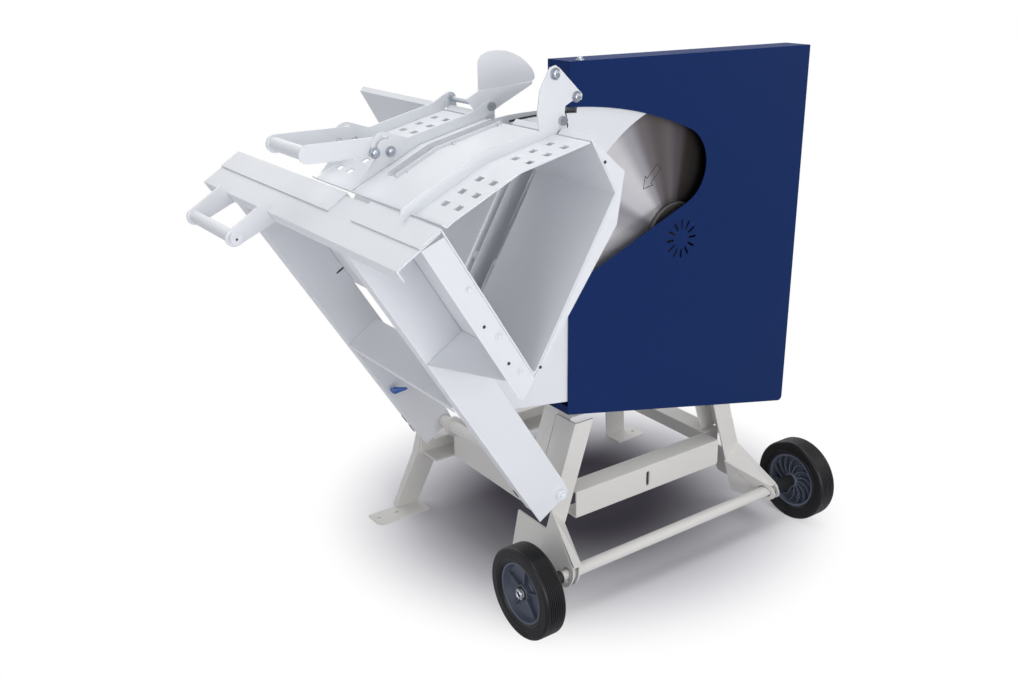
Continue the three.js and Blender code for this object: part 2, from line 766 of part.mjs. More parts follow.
// Opening that the trough and its blade cover swing into: arched top, round tip, sloping floor
function guardOpening() {
  const meet = Math.atan2(cutTipZ - cutTopCentreZ, cutTipX - cutTopCentreX) / degree;
  const left = guardLeft - overrun;
  const topAngle = Math.acos((left - cutTopCentreX) / cutTopRadius) / degree;
  const tip = arc(cutTipX, cutTipZ, cutTipRadius, cutFloorSlope - 90, meet, 3 * arcSteps);
  const floorZ = tip[0][1] - (tip[0][0] - left) * Math.tan(cutFloorSlope * degree);
  const arch = arc(cutTopCentreX, cutTopCentreZ, cutTopRadius, meet, topAngle, 3 * arcSteps);
  return [[left, floorZ], ...tip, ...arch.slice(1)];
}

// Near guard shell: a face with deep returns, open behind, with the swing opening and the round vent
function guardFront() {
  const shell = alongY(guardOutline(), guardNear, guardFar);
  const pocket = alongY(guardOutline(guardSheet), guardNear + guardSheet, guardFar + overrun);
  const opening = alongY(guardOpening(), guardNear - overrun, guardFar + overrun);
  const bottomSlope = (guardBottomRight - guardBottomLeft) / (guardRight - guardLeft);
  const bottomAt = (x) => guardBottomLeft + bottomSlope * (x - guardLeft);
  const chipOutlet = alongY([[chipOutletLeft, bottomAt(chipOutletLeft) - overrun],
    [chipOutletRight, bottomAt(chipOutletRight) - overrun],
      [chipOutletRight, bottomAt(chipOutletRight) + overrun],
    [chipOutletLeft, bottomAt(chipOutletLeft) + overrun]], guardNear + guardSheet, guardFar + overrun);
  const coverRoom = block(guardLeft - overrun, guardLeft + overrun, guardNear + guardSheet,
    guardFar + overrun,
    guardBottomLeft + guardLeftReturn, cutTopCentreZ + cutTopRadius - guardLeftReturn);
  const slots = [];
  for (let i = 0; i < ventSlots; i++) {
    const half = ventSlotWidth / 2;
    const slot = extruded([...arc(0, ventOuter - half, half, 0, 180, 4),
      ...arc(0, ventInner + half, half, 180, 360, 4)], overrun);
    slot.rotateX(Math.PI / 2).rotateY((fullTurn * i) / ventSlots);
    slots.push(toSolid(slot.translate(arborX, guardNear + overrun / 2, arborZ)));
  }
  const legRooms = [-1, 1].map((side) => {
    const low = guardBottomRight - nearLegWidth;
    const reach = seatGap + frameSheet / 2;
    return alongY([[side * (nearLegEdge(low) + reach), low],
      [side * (nearLegEdge(nearLegTop) + reach), nearLegTop],
      [side * (nearLegEdge(nearLegTop) - nearLegWidth - reach), nearLegTop],
      [side * (nearLegEdge(low) - nearLegWidth - reach), low]],
      guardNear + guardSheet, guardFar + overrun);
  });
  return piece('guard_front', cut(shell, [pocket, opening, coverRoom, chipOutlet, ...slots,
    ...legRooms]), guardBlue);
}

// Far guard plate with the same opening and a hole for the motor shaft
function guardBack() {
  const plate = alongY(guardOutline(), guardFar + seatGap, guardFar + seatGap + guardSheet);
  const opening = alongY(guardOpening(), guardNear, guardFar + overrun);
  const hole = rodY(arborX, arborZ, shaftHoleRadius, guardNear, guardFar + overrun);
  return piece('guard_back', cut(plate, [opening, hole]), guardBlue);
}

// Saw blade: hooked teeth round a flat disc
function blade() {
  const points = [];
  const pitch = fullTurn / bladeTeeth;
  const at = (radius, turn) =>
    points.push([arborX + radius * Math.cos(turn), arborZ + radius * Math.sin(turn)]);
  for (let i = 0; i < bladeTeeth; i++) {
    const tooth = i * pitch;
    at(bladeRadius, tooth);
    at(bladeRadius - gulletDepth, tooth + pitch * gulletLipShare);
    at(bladeRadius - gulletDepth, tooth + pitch * gulletFloorShare);
    at(bladeRadius - gulletDepth * gulletBackDepthShare, tooth + pitch * gulletBackShare);
  }
  const disc = alongY(points, bladeNear, bladeNear + bladeThickness);
  const bore = rodY(arborX, arborZ, arborRadius + seatGap, bladeNear - overrun, bladeNear + overrun);
  return piece('blade', cut(disc, [bore]), bladeSteel);
}

// Clamping flange: a disc relieved inside so that only its rim grips the blade
function bladeFlange(name, face, away) {
  const grip = face + away * seatGap;
  const back = grip + away * flangeThickness;
  const relief = grip + away * flangeRecess;
  const bore = arborRadius + seatGap;
  const profile = [[bore, relief], [flangeRadius - flangeRimWidth, relief],
    [flangeRadius - flangeRimWidth, grip], [flangeRadius, grip], [flangeRadius, back - away * flangeRecess],
    [flangeRadius - flangeRecess, back], [bore, back], [bore, relief]];
  if (away < 0) profile.reverse();
  return piece(name, turnedY(profile, arborX, arborZ, discSides), zinc);
}

function arbor() {
  const nutFar = bladeNear - seatGap - flangeThickness - seatGap;
  const nutNear = nutFar - arborNutHeight;
  const hex = arc(arborX, arborZ, arborNutRadius, 0, 300, 5);
  const nut = alongY(hex, nutNear, nutFar);
  const stub = rodY(arborX, arborZ, arborRadius - arborStub, nutNear - arborStub, nutFar + overrun);
  const shaft = rodY(arborX, arborZ, arborRadius, nutFar - arborStub,
    motorNear - motorFrontDepth - seatGap);
  return piece('arbor', join([nut, stub, shaft]), zinc);
}

// Motor housing with cooling fins, end shields, feet and terminal box
function motorHousing() {
  const far = motorNear + motorLength;
  const outline = [];
  const finPitch = 360 / motorFins;
  for (let i = 0; i < motorFins; i++) {
    const start = i * finPitch;
    outline.push(...arc(arborX, arborZ, motorRadius, start, start + finPitch * motorFinGapShare, 1));
    outline.push(...arc(arborX, arborZ, motorRadius + motorFin, start + finPitch * motorFinRiseShare,
      start + finPitch * motorFinCrestShare, 1));
  }
  const barrel = alongY(outline, motorNear, far);
  const shield = turnedY([[0, motorNear - motorFrontDepth],
    [motorRadius * motorShieldShare, motorNear - motorFrontDepth],
    [motorRadius, motorNear - motorFrontDepth / 3], [motorRadius + motorFin, motorNear],
    [motorRadius + motorFin, motorNear + motorFrontDepth], [0, motorNear + motorFrontDepth]], arborX,
      arborZ);
  const footTop = arborZ - motorRadius * motorFootTopShare;
  const footBase = postTop + frameSheet + 2 * seatGap;
  const footNear = motorNear + (motorLength - motorFootLength) / 2;
  const feet = [-1, 1].map((side) => {
    const legX = arborX + side * motorFootSpread / 2;
    return join([
      block(legX - motorFootWall / 2, legX + motorFootWall / 2, footNear, footNear + motorFootLength,
        footBase, footTop),
      block(legX, legX + side * motorFootSpread / 3, footNear, footNear + motorFootLength, footBase,
        footBase + motorFootHeight),
    ]);
  });
  return piece('motor_housing', join([barrel, shield, ...feet]), motorGrey);
}

function fanCover() {
  const from = motorNear + motorLength + seatGap;
  const to = from + fanCoverLength;
  const radius = motorRadius + motorFin;
  const profile = [[0, from], [radius, from], [radius, to - fanCoverRound],
    [radius - fanCoverRound / 3, to - fanCoverRound / 3], [radius - fanCoverRound, to], [0, to]];
  const body = turnedY(profile, arborX, arborZ, discSides);
  const slots = [];
  const slotInner = radius * fanSlotInnerShare;
  const slotOuter = radius * fanSlotOuterShare;
  for (let i = 0; i < fanSlots; i++) {
    const slot = new THREE.BoxGeometry(slotOuter - slotInner, fanCoverRound, ventSlotWidth);
    slot.translate((slotOuter + slotInner) / 2, 0, 0).rotateY((fullTurn * i) / fanSlots);
    slots.push(toSolid(slot.translate(arborX, to, arborZ)));
  }
  return piece('fan_cover', cut(body, slots), motorGrey);
}

function terminalBox() {
  const half = motorRadius * terminalHalfShare;
  const near = motorNear + motorLength * terminalStartShare;
  const far = near + terminalLengthShare * half;
  const side = arborX + motorRadius + motorFin + seatGap;
  const outline = rounded([[near, arborZ - half, switchRound], [far, arborZ - half, switchRound],
    [far, arborZ + half, switchRound], [near, arborZ + half, switchRound]]);
  return piece('terminal_box', alongX(outline, side, side + half), motorGrey);
}

// Switch box on the back of the guard with two buttons and a plug inlet below
function switchParts() {
  const back = guardFar + 2 * seatGap + guardSheet;
  const far = back + switchDepth;
  const half = switchWidth / 2;
  const box = alongY(rounded([[switchX - half, switchZ, switchRound],
    [switchX + half, switchZ, switchRound],
    [switchX + half, switchZ + switchHeight, switchRound],
    [switchX - half, switchZ + switchHeight, switchRound]]), back, far);
  const buttonZ = [switchZ + switchHeight / 2 + buttonPitch / 2,
    switchZ + switchHeight / 2 - buttonPitch / 2];
  const wells = buttonZ.map((z) =>
    rodY(switchX, z, buttonRadius + 2 * seatGap, far - buttonWellDepth, far + overrun));
  const buttons = ['start_button', 'stop_button'].map((name, i) =>
    piece(name, rodY(switchX, buttonZ[i], buttonRadius, far - buttonWellDepth + buttonTravel + seatGap,
      far + buttonHeight + i * stopButtonRise), i ? stopRed : startGreen));
  const inletY = back + switchDepth / 2;
  const inletTop = switchZ - seatGap;
  const shell = rodZ(switchX, inletY, inletRadius, inletTop - inletLength, inletTop);
  const bore = rodZ(switchX, inletY, inletBore, inletTop - inletLength - overrun,
    inletTop - inletLength / 3);
  const pins = [];
  for (let i = 0; i < inletPins; i++) {
    const turn = (fullTurn * i) / inletPins;
    pins.push(rodZ(switchX + inletPinRing * Math.cos(turn), inletY + inletPinRing * Math.sin(turn),
      inletPinRadius, inletTop - inletLength / 3 - inletPinLength,
        inletTop - inletLength / 3 + overrun / 4, pinSides));
  }
  return [
    piece('switch_box', cut(box, wells), black),
    ...buttons,
    piece('plug_inlet', join([cut(shell, [bore]), ...pins]), inletBlue),
  ];
}

// Rocker leg: a channel with a rounded pivot lobe and a square foot corner, oval holes in its outer flange
function rockerLeg(name, webY) {
  const top = topPlateHigh - rockerSheet - seatGap;
  const outline = [[legInner, top], [legOuter, top], [legOuter, legFoot], [0, legFoot],
    ...arc(0, 0, legLobeRadius, 270, 360, arcSteps), [legInner, legLobeRadius]];
  const web = alongY(outline, webY, webY + rockerSheet);
  const flangeFar = webY + legFlangeDepth;
  const outerFlange = block(legOuter, legOuter + rockerSheet, webY, flangeFar, legFlangeStart, top);
  const innerFlange = block(legInner - rockerSheet, legInner, webY, flangeFar,
    legFlangeStart + legLobeRadius, top);
  const bore = rodY(0, 0, pivotShaftRadius + seatGap, webY - overrun, webY + overrun);
  const ovals = [0, 1].map((i) => {
    const low = legFlangeStart + legLobeRadius + i * legOvalPitch;
    const middle = webY + rockerSheet + (legFlangeDepth - rockerSheet) / 2;
    const half = ventSlotWidth / 2;
    return alongX([...arc(middle, low + 2 * half, half, 0, 180, 4), ...arc(middle, low, half, 180, 360, 4)],
      legOuter - overrun, legOuter + overrun);
  });
  return piece(name, cut(join([web, outerFlange, innerFlange]), [bore, ...ovals]), rockerWhite);
}

// Long plate on top of the legs with its folded lip on the operator's side
function topPlate() {
  const path = [[topPlateOuter, topPlateHigh - topPlateLip], [topPlateOuter, topPlateHigh],
    [topPlateInner, topPlateHigh]];
  return piece('top_plate', alongY(folded(path, -rockerSheet), troughNearEnd, troughFarEnd), rockerWhite);
}

// Inner surface of the trough in rocker axes, from the flange on the top plate round to the right lip
function troughPath() {
  const flangeZ = topPlateHigh + seatGap + rockerSheet;
  return [[troughFlangeEdge, flangeZ], [troughWallInner, flangeZ], [troughWallInner, troughRootHeight],
    [troughFloorEndX, troughFloorEndZ], [troughRightX, troughRightZ],
    [troughRightX + troughLip, troughRightZ + troughLip / 4]];
}

// Trough's sheet: its sharp root is a fold flat, so that the wall doesn't hang over the floor's edge
function troughSheet() {
  const path = troughPath();
  const root = new THREE.Vector2(...path[2]);
  const ends = [path[1], path[3]].map((point) =>
    new THREE.Vector2(...point).sub(root).normalize().multiplyScalar(troughFold).add(root).toArray());
  return folded([path[0], path[1], ...ends, ...path.slice(3)], -rockerSheet);
}

function trough(name, from, to, ears, notches) {
  const body = alongY(troughSheet(), from, to);
  const lipRooms = notches.map(([near, far]) =>
    block(troughRightX - overrun, troughRightX + 3 * troughLip, near, far,
    hingeZ - earRound - seatGap, hingeZ + earRound));
  const earPlates = ears.map((y) => {
    const wall = troughRightX + rockerSheet / 2;
    const low = troughRightZ - 3 * earRound;
    const outline = [[wall - rockerSheet / 3, low], [wall + earRound / 2, low],
      ...arc(hingeX, hingeZ, earRound, -20, 190, arcSteps + 1), [wall, hingeZ - 2 * earRound]];
    return alongY(outline, y, y + earSheet);
  });
  const hinge = rodY(hingeX, hingeZ, hingeBoltRadius + seatGap, from - overrun, to + overrun, boltSides);
  return piece(name, cut(join([cut(body, lipRooms), ...earPlates]), [hinge]), rockerWhite);
}

// Gable: a flat band outside the trough's profile at one end of it
function gable(name, from) {
  const skin = rockerSheet + seatGap;
  const top = topPlateHigh - rockerSheet - seatGap;
  const wall = folded(troughPath().slice(0, 5), -skin).slice(6, 9).reverse();
  const floorSlope = (troughFloorEndZ - troughRootHeight) / (troughFloorEndX - troughWallInner);
  const footX = troughFlangeEdge + gableFoot / 2;
  const footZ = troughRootHeight - floorSlope * (troughWallInner - footX) - gableRootStep;
  const outer = [[troughFlangeEdge, top], [troughFlangeEdge, troughRootHeight - gableFoot], [footX, footZ],
    [troughFloorEndX - gableTurnBack, troughFloorEndZ - gableTurnDrop],
    [troughRightX + gableSideOut, troughFloorEndZ + gableSideRise],
    [troughRightX + skin + gableTip, troughRightZ - skin]];
  const inside = [...wall, [troughRightX + skin, troughRightZ + overrun],
    [troughWallInner - skin, top + overrun]];
  return piece(name, cut(alongY(outer, from, from + rockerSheet),
    [alongY(inside, from - overrun, from + rockerSheet + overrun)]), rockerWhite);
}

// Shelf across the two legs with a folded front lip
function legShelf() {
  const path = [[shelfInner, shelfHeight], [legOuter - seatGap - rockerSheet, shelfHeight],
    [legOuter - seatGap - rockerSheet, shelfHeight - shelfLip]];
  const from = nearLegWebY + legFlangeDepth + seatGap;
  return piece('leg_shelf', alongY(folded(path, rockerSheet), from, farLegWebY - seatGap), rockerWhite);
}

// Gusset shelf from the near leg out to the near gable
function gussetShelf() {
  const far = nearLegWebY - seatGap;
  const near = troughNearEnd + rockerSheet + seatGap;
  const wall = troughWallInner - rockerSheet - seatGap;
  const outline = [[legOuter, far], [wall, far], [wall, near], [gussetTaper, near]];
  const high = troughRootHeight + gussetRise;
  return piece('gusset_shelf', alongZ(outline, high - rockerSheet, high), rockerWhite);
}

// Arbor's place in rocker axes at rest
const tilt = rockerTilt * degree;
const arborFromPivotX = arborX - pivotX;
const arborFromPivotZ = arborZ - pivotZ;
const arborLocalX = arborFromPivotX * Math.cos(tilt) + arborFromPivotZ * Math.sin(tilt);
const arborLocalZ = -arborFromPivotX * Math.sin(tilt) + arborFromPivotZ * Math.cos(tilt);
const arborReach = Math.hypot(arborLocalX, arborLocalZ);
const arborAngle = Math.atan2(arborLocalZ, arborLocalX) / degree;

// Arched top of the cover plates, just outside the trough's right edge, and the shoulder that runs on from it
const coverTopRadius = Math.hypot(troughRightX + rockerSheet, troughRightZ - rockerSheet) + coverTopStep;
const coverShoulderRadius = coverTopRadius + coverShoulderStep;

// Spacers just outside the trough's sheet: at its root, below its floor and beside its right wall
const partWay = (from, to, share) => from + (to - from) * share;
const spacerPlaces = [
  [troughWallInner - spacerDrop, troughRootHeight - spacerDrop],
  [partWay(troughWallInner, troughFloorEndX, spacerFloorShare),
    partWay(troughRootHeight, troughFloorEndZ, spacerFloorShare) - spacerDrop],
  [partWay(troughFloorEndX, troughRightX, spacerWallShare) + spacerDrop,
    partWay(troughFloorEndZ, troughRightZ, spacerWallShare)],
];

// Swing-along blade cover plate: arched top about the pivot, hollow edge about the arbor
function coverOutline() {
  const skin = rockerSheet + seatGap;
  const bottomRightX = coverBottomLeftX + coverBottomRun;
  const bottomRightZ = coverBottomLeftZ + coverBottomRun * Math.tan(coverBottomSlope * degree);
  const topStart = Math.atan2(troughRightZ - rockerSheet, troughRightX + skin) / degree;
  return [[coverLeftX, troughRootHeight - skin], [coverLeftX, troughRootHeight - coverHeel],
    [legInner, troughRootHeight - coverHeel - legInner], [coverBottomLeftX, coverBottomLeftZ],
    [bottomRightX, bottomRightZ], [arborLocalX - coverArborRadius / 2, arborLocalZ],
    ...arc(0, 0, coverShoulderRadius, topStart - coverTopSpread, topStart - coverShoulderTurn,
      2 * arcSteps),
    ...arc(0, 0, coverTopRadius, topStart - coverShoulderTurn, topStart, arcSteps),
    [troughRightX + skin, troughRightZ - skin], [troughFloorEndX + skin, troughFloorEndZ - skin / 2],
    [troughWallInner + skin / 2, troughRootHeight - skin]];
}

function bladeCover(name, from, shaftRoom, spacers) {
  const plate = alongY(coverOutline(), from, from + coverSheet);
  const hollow = rodY(arborLocalX, arborLocalZ, coverArborRadius, from - overrun, from + overrun,
    hollowSides);
  const pieces = [plate];
  const cutters = [hollow];
  if (shaftRoom) {
    const start = arborAngle;
    const end = arborAngle + swingRange;
    const room = arborRadius + coverSlotMargin;
    const lane = [...arc(0, 0, arborReach + room, start, end, 3 * arcSteps),
      ...arc(arborReach * Math.cos(end * degree), arborReach * Math.sin(end * degree), room, end,
        end + 180, arcSteps),
      ...arc(0, 0, arborReach - room, end, start, 3 * arcSteps)];
    cutters.push(alongY(lane, from - overrun, from + overrun));
  }
  spacers.forEach(([x, z, y0, y1]) => pieces.push(rodY(x, z, spacerRadius, y0, y1, boltSides)));
  return piece(name, cut(join(pieces), cutters), rockerWhite);
}

// Dark edge strip on the near cover plate's arched top
function coverEdge() {
  const topStart = Math.atan2(troughRightZ, troughRightX + rockerSheet) / degree;
  const low = coverTopRadius + seatGap;
  const end = topStart - coverShoulderTurn + seatGap;
  const outer = arc(0, 0, low + edgeStripHeight, end, topStart, 2 * arcSteps);
  const inner = arc(0, 0, low, topStart, end, 2 * arcSteps);
  const middle = coverNear + coverSheet / 2;
  return piece('cover_edge', alongY([...outer, ...inner], middle - edgeStripWidth / 2,
    middle + edgeStripWidth / 2),
    black);
}

// Lower handle: a round bar on two flat arms that clamp against the top plate's lip
function lowerHandle() {
  const bar = rodY(lowerBarX, lowerBarZ, handleRadius, lowerBarNear, lowerBarFar, handleSides);
  const lipX = topPlateOuter - seatGap;
  const lipLow = topPlateHigh - topPlateLip;
  const arms = [lowerBarNear + handleRadius, lowerBarFar - handleRadius - handleArmSheet].map((y) =>
    alongY([[lipX, topPlateHigh], ...arc(lowerBarX, lowerBarZ, handleArmRound, 80, 260, arcSteps + 2),
      [lipX, lipLow]], y, y + handleArmSheet));
  return piece('lower_handle', join([bar, ...arms]), rockerWhite);
}

function lockKnob() {
  const y = farLegWebY - knobReach;
  const grip = new THREE.LatheGeometry(knobProfileShares.map(([radius, along]) =>
    new THREE.Vector2(radius * knobRadius, along * knobLength)), knobSides);
  grip.rotateZ(knobTurn * degree).translate(knobX, y, knobZ);
  const stem = rodY(knobX, knobZ, knobStemRadius, y, farLegWebY - seatGap, boltSides);
  const stemMoved = new THREE.Vector2(0, knobRadius).rotateAround(new THREE.Vector2(), knobTurn * degree);
  return piece('lock_knob', join([toSolid(grip), stem.translate([stemMoved.x, 0, stemMoved.y])]), knobBlue);
}

// Hold-down sheet profile: curled lip, bend, and end at the hinge
function holdPath() {
  return [[holdCurlX - holdCurlBack, holdCurlZ + holdFlangeHigh / 4], [holdCurlX, holdCurlZ - holdSheet],
    [holdCurlX + holdFlangeHigh / 2, holdCurlZ - holdSheet], [holdBendX, holdBendZ], [holdEndX, holdEndZ]];
}

// Point on the hold-down's upper surface at a place across the rocker, raised by an amount
function onHold(x, up = 0) {
  const path = holdPath();
  const from = x < holdBendX ? path[2] : path[3];
  const to = x < holdBendX ? path[3] : path[4];
  return from[1] + ((to[1] - from[1]) * (x - from[0])) / (to[0] - from[0]) + up;
}

// Slots through a hold-down wing: pairs of long holes at given places
function holdHoles(places, rows) {
  return places.flatMap((x) => rows.map((y) => {
    const slope = Math.atan2(onHold(x + 1) - onHold(x), 1);
    const hole = new THREE.BoxGeometry(holeWide, holeLong, 2 * overrun);
    return toSolid(hole.rotateY(-slope).translate(x, y, onHold(x)));
  }));
}

// Middle of each arm's lobe, and of the upper handle's bar
const armLobeZ = onHold(armLobeX, armLobeRise);
const armGripZ = holdCurlZ + armGripRise;

function holdWing(name, from, to, holes, extras = []) {
  const sheet = alongY(folded(holdPath(), -holdSheet), from, to);
  return piece(name, cut(join([sheet, ...extras]), holes), rockerWhite);
}

function holdDown() {
  const holePlaces = holePlaceShares.map((share) => share * holdEndX);
  const gap = seatGap / 2;
  const nearRows = [holdNear + holeRowFirst, holdNear + holeRowFirst + holeRowPitch];
  const bracket = bracketOutlineShares.map(([across, up]) =>
    [hingeX + across * bracketReach, hingeZ + up * bracketHigh]);
  const flange = [[holdCurlX, onHold(holdCurlX + holdFlangeHigh)],
    [holdCurlX, onHold(holdCurlX + holdFlangeHigh, holdFlangeEdge)],
      [holdBendX, onHold(holdBendX, holdFlangeHigh)],
    ...bracket, [holdEndX, onHold(holdEndX) - holdSheet], [holdBendX, onHold(holdBendX) - holdSheet]];
  const upright = alongY(flange, holdFlangeY - holdSheet, holdFlangeY);
  const hingeHole = (y) => rodY(hingeX, hingeZ, hingeBoltRadius + seatGap, y - overrun, y + overrun,
    boltSides);
  const near = holdWing('hold_down_near', holdNear, holdFlangeY, [...holdHoles(holePlaces, nearRows),
    hingeHole(holdFlangeY)], [upright]);

  const slotFar = bladeSlotNear + bladeSlotWidth;
  const slotCut = block(bladeSlotStart, holdEndX + overrun, bladeSlotNear, slotFar, holdEndZ - 2 * overrun,
    holdBendZ + 2 * holdFlangeHigh);
  const lipPlaces = [bladeSlotStart, holdBendX, holdEndX - holdSheet];
  const lipOutline = [...lipPlaces.map((x) => [x, onHold(x, bladeSlotLip)]),
    ...lipPlaces.map((x) => [x, onHold(x, -holdSheet / 2)]).reverse()];
  const lips = [bladeSlotNear - rockerSheet, slotFar].map((y) => alongY(lipOutline, y, y + rockerSheet));
  const middle = holdWing('hold_down_middle', holdFlangeY + gap + seatGap / 2, holdSlotFar - gap,
    [slotCut], lips);

  const farRows = [holdFar - holeRowFirst - holeRowPitch, holdFar - holeRowFirst];
  const far = holdWing('hold_down_far', holdSlotFar + armSheet + gap + seatGap / 2, holdFar - gap,
    holdHoles(holePlaces, farRows));
  return [near, middle, far];
}

// Arm on top of the hold-down: long foot along the sheet, round lobe with an arc slot, hinge at its end
function holdArm(name, y) {
  const clear = seatGap;
  const lobe = arc(armLobeX, armLobeZ, armLobeRadius, 40, 200, 2 * arcSteps);
  const foot = [[holdCurlX + holdFlangeHigh / 2, onHold(holdCurlX + holdFlangeHigh / 2, clear)],
    [holdBendX, onHold(holdBendX, clear)], [holdEndX, onHold(holdEndX, clear)]];
  const round = arc(hingeX, hingeZ, earRound, -70, 80, arcSteps);
  const outline = [...foot, ...round, [holdEndX - earRound, onHold(holdEndX) + earRound * 2],
    [holdBendX - earRound, onHold(holdBendX) + earRound * 2], ...lobe];
  const plate = alongY(outline, y, y + armSheet);
  const hinge = rodY(hingeX, hingeZ, hingeBoltRadius + seatGap, y - overrun, y + overrun, boltSides);
  const slotRadius = armLobeRadius * armSlotShare;
  const slotZ = armLobeZ - armSlotDrop;
  const arcSlot = alongY([...arc(armLobeX, slotZ, slotRadius + armSlotHalf, 35, 145),
    ...arc(armLobeX, slotZ, slotRadius - armSlotHalf, 145, 35)], y - overrun, y + overrun);
  return piece(name, cut(plate, [hinge, arcSlot]), rockerWhite);
}

// Upper handle: two flat arms outside the hold-down arms with a round bar between their ends
function upperHandle() {
  const nearY = holdSlotFar + armSheet + seatGap;
  const farY = holdFar - seatGap - armSheet;
  const turn = Math.atan2(armGripZ - armLobeZ, armGripX - armLobeX) / degree;
  const outline = [...arc(armLobeX, armLobeZ, armGripRound, turn + 90, turn + 270, arcSteps + 2),
    ...arc(armGripX, armGripZ, armGripRound, turn - 90, turn + 90, arcSteps + 2)];
  const arms = [nearY, farY].map((y) => alongY(outline, y, y + armSheet));
  const bar = rodY(armGripX, armGripZ, handleRadius, nearY, farY + armSheet, handleSides);
  return piece('upper_handle', join([...arms, bar]), rockerWhite);
}

// Sail-shaped fin behind the hinge on the middle arm
function sailFin() {
  const y = holdSlotFar + armSheet + seatGap;
  const outline = rounded(finOutlineShares.map(([across, up, round]) =>
    [hingeX + across * finReach, hingeZ + up * finHigh, round * finReach]));
  return piece('sail_fin', alongY(outline, y, y + finSheet), rockerWhite);
}

// Bolt or rod on the hold-down's hinge with a head at each end
function hingeBolt(name, from, to) {
  const head = hingeBoltRadius * hingeHeadShare;
  const height = hingeBoltRadius * hingeHeadHighShare;
  const profile = [[0, from - height], [head, from - height], [head, from], [hingeBoltRadius, from],
    [hingeBoltRadius, to], [head, to], [head, to + height], [0, to + height]];
  return piece(name, turnedY(profile, hingeX, hingeZ, boltSides), zinc);
}

// Scene graph
const saw = new THREE.Group();
const base = new THREE.Group();
base.add(axle(), frontBeam(), sideBeam(-1), sideBeam(1), rearBeam());
base.add(nearLeg(-1), nearLeg(1), post(-1), post(1), motorConsole());
base.add(farLeg(-1), farLeg(1), pivotTube());
base.add(pivotBracket('pivot_bracket_near', nearBracketPlace),
  pivotBracket('pivot_bracket_far', farBracketPlace));
base.add(guardFront(), guardBack(), motorHousing(), fanCover(), terminalBox(), ...switchParts());
base.add(...wheel(-1), ...wheel(1));
base.add(blade(), bladeFlange('flange_near', bladeNear, -1),
  bladeFlange('flange_far', bladeNear + bladeThickness, 1), arbor());

const rocker = new THREE.Group();
rocker.position.set(pivotX, 0, pivotZ);
rocker.rotation.y = -tilt;
rocker.add(pivotShaft(), rockerLeg('rocker_leg_near', nearLegWebY),
  rockerLeg('rocker_leg_far', farLegWebY));
const earRoom = 2 * seatGap + overrun / 2;
rocker.add(topPlate(), trough('trough_near', troughNearEnd, troughSlotNear - rockerSheet - seatGap,
  [holdFlangeY + seatGap], [[holdFlangeY - holdSheet - earRoom, holdFlangeY + earSheet + earRoom]]));
rocker.add(trough('trough_far', troughSlotFar + rockerSheet + seatGap, troughFarEnd,
  [holdSlotFar + armSheet + finSheet + 2 * seatGap, holdFar - seatGap - earSheet],
  [[holdSlotFar - earRoom, holdSlotFar + armSheet + earSheet + earRoom],
    [holdFar - earSheet - earRoom, holdFar + armSheet + earRoom]]));
rocker.add(gable('gable_near', troughNearEnd), gable('gable_slot_near', troughSlotNear - rockerSheet));
rocker.add(gable('gable_slot_far', troughSlotFar), gable('gable_far', troughFarEnd - rockerSheet));
rocker.add(legShelf(), gussetShelf(), coverEdge(), lowerHandle(), lockKnob());
rocker.add(bladeCover('blade_cover_near', coverNear, false,
  spacerPlaces.map(([x, z]) => [x, z, troughSlotNear + seatGap, coverNear + coverSheet / 2])));
rocker.add(bladeCover('blade_cover_far', coverFar, true,
  spacerPlaces.map(([x, z]) => [x, z, coverFar + coverSheet / 2, troughSlotFar - seatGap])));
rocker.add(...holdDown(), holdArm('hold_arm_middle', holdSlotFar), holdArm('hold_arm_far', holdFar));
rocker.add(upperHandle(), sailFin());
rocker.add(hingeBolt('hinge_bolt_near', holdFlangeY - holdSheet - seatGap,
  holdFlangeY + earSheet + 2 * seatGap));
rocker.add(hingeBolt('hinge_rod_far', holdSlotFar - seatGap, holdFar + armSheet + seatGap));
saw.add(base, rocker);

// Stand the saw with the middle of its outline box at the origin and its feet on the ground
saw.updateMatrixWorld(true);
const reach = new THREE.Box3().setFromObject(saw, true);
saw.position.set(-(reach.min.x + reach.max.x) / 2, -(reach.min.y + reach.max.y) / 2, -reach.min.z);
saw.updateMatrixWorld(true);

export default saw;
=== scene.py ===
import json
import math

import bpy
from mathutils import Matrix, Vector


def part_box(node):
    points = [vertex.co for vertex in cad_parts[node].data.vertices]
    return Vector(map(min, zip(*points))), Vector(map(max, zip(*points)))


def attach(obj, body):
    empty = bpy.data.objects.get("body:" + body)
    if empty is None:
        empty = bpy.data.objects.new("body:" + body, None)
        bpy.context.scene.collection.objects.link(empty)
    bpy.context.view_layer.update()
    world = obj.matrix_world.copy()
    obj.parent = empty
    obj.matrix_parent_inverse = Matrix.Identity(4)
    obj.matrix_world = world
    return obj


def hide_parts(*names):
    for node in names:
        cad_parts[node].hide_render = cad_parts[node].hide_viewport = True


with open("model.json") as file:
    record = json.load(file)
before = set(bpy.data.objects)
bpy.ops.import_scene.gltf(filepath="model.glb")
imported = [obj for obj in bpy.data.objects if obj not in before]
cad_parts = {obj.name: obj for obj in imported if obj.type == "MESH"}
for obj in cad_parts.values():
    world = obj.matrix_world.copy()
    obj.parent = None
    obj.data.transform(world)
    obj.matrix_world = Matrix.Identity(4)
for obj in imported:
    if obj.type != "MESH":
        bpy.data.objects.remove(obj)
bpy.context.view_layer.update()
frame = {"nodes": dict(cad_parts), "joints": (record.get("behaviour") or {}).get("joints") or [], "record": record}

# A firewood circular saw with a rocking log trough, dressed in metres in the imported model's own frame
mm = 0.001
bodies = frame["record"]["behaviour"]["bodies"]
bodyOfNode = {node: body for body, nodes in bodies.items() for node in nodes}
slotOfNode = {part["node"]: part["material_slot"] for part in frame["record"]["subparts"]}
jointNamed = {joint["name"]: joint for joint in frame["joints"]}
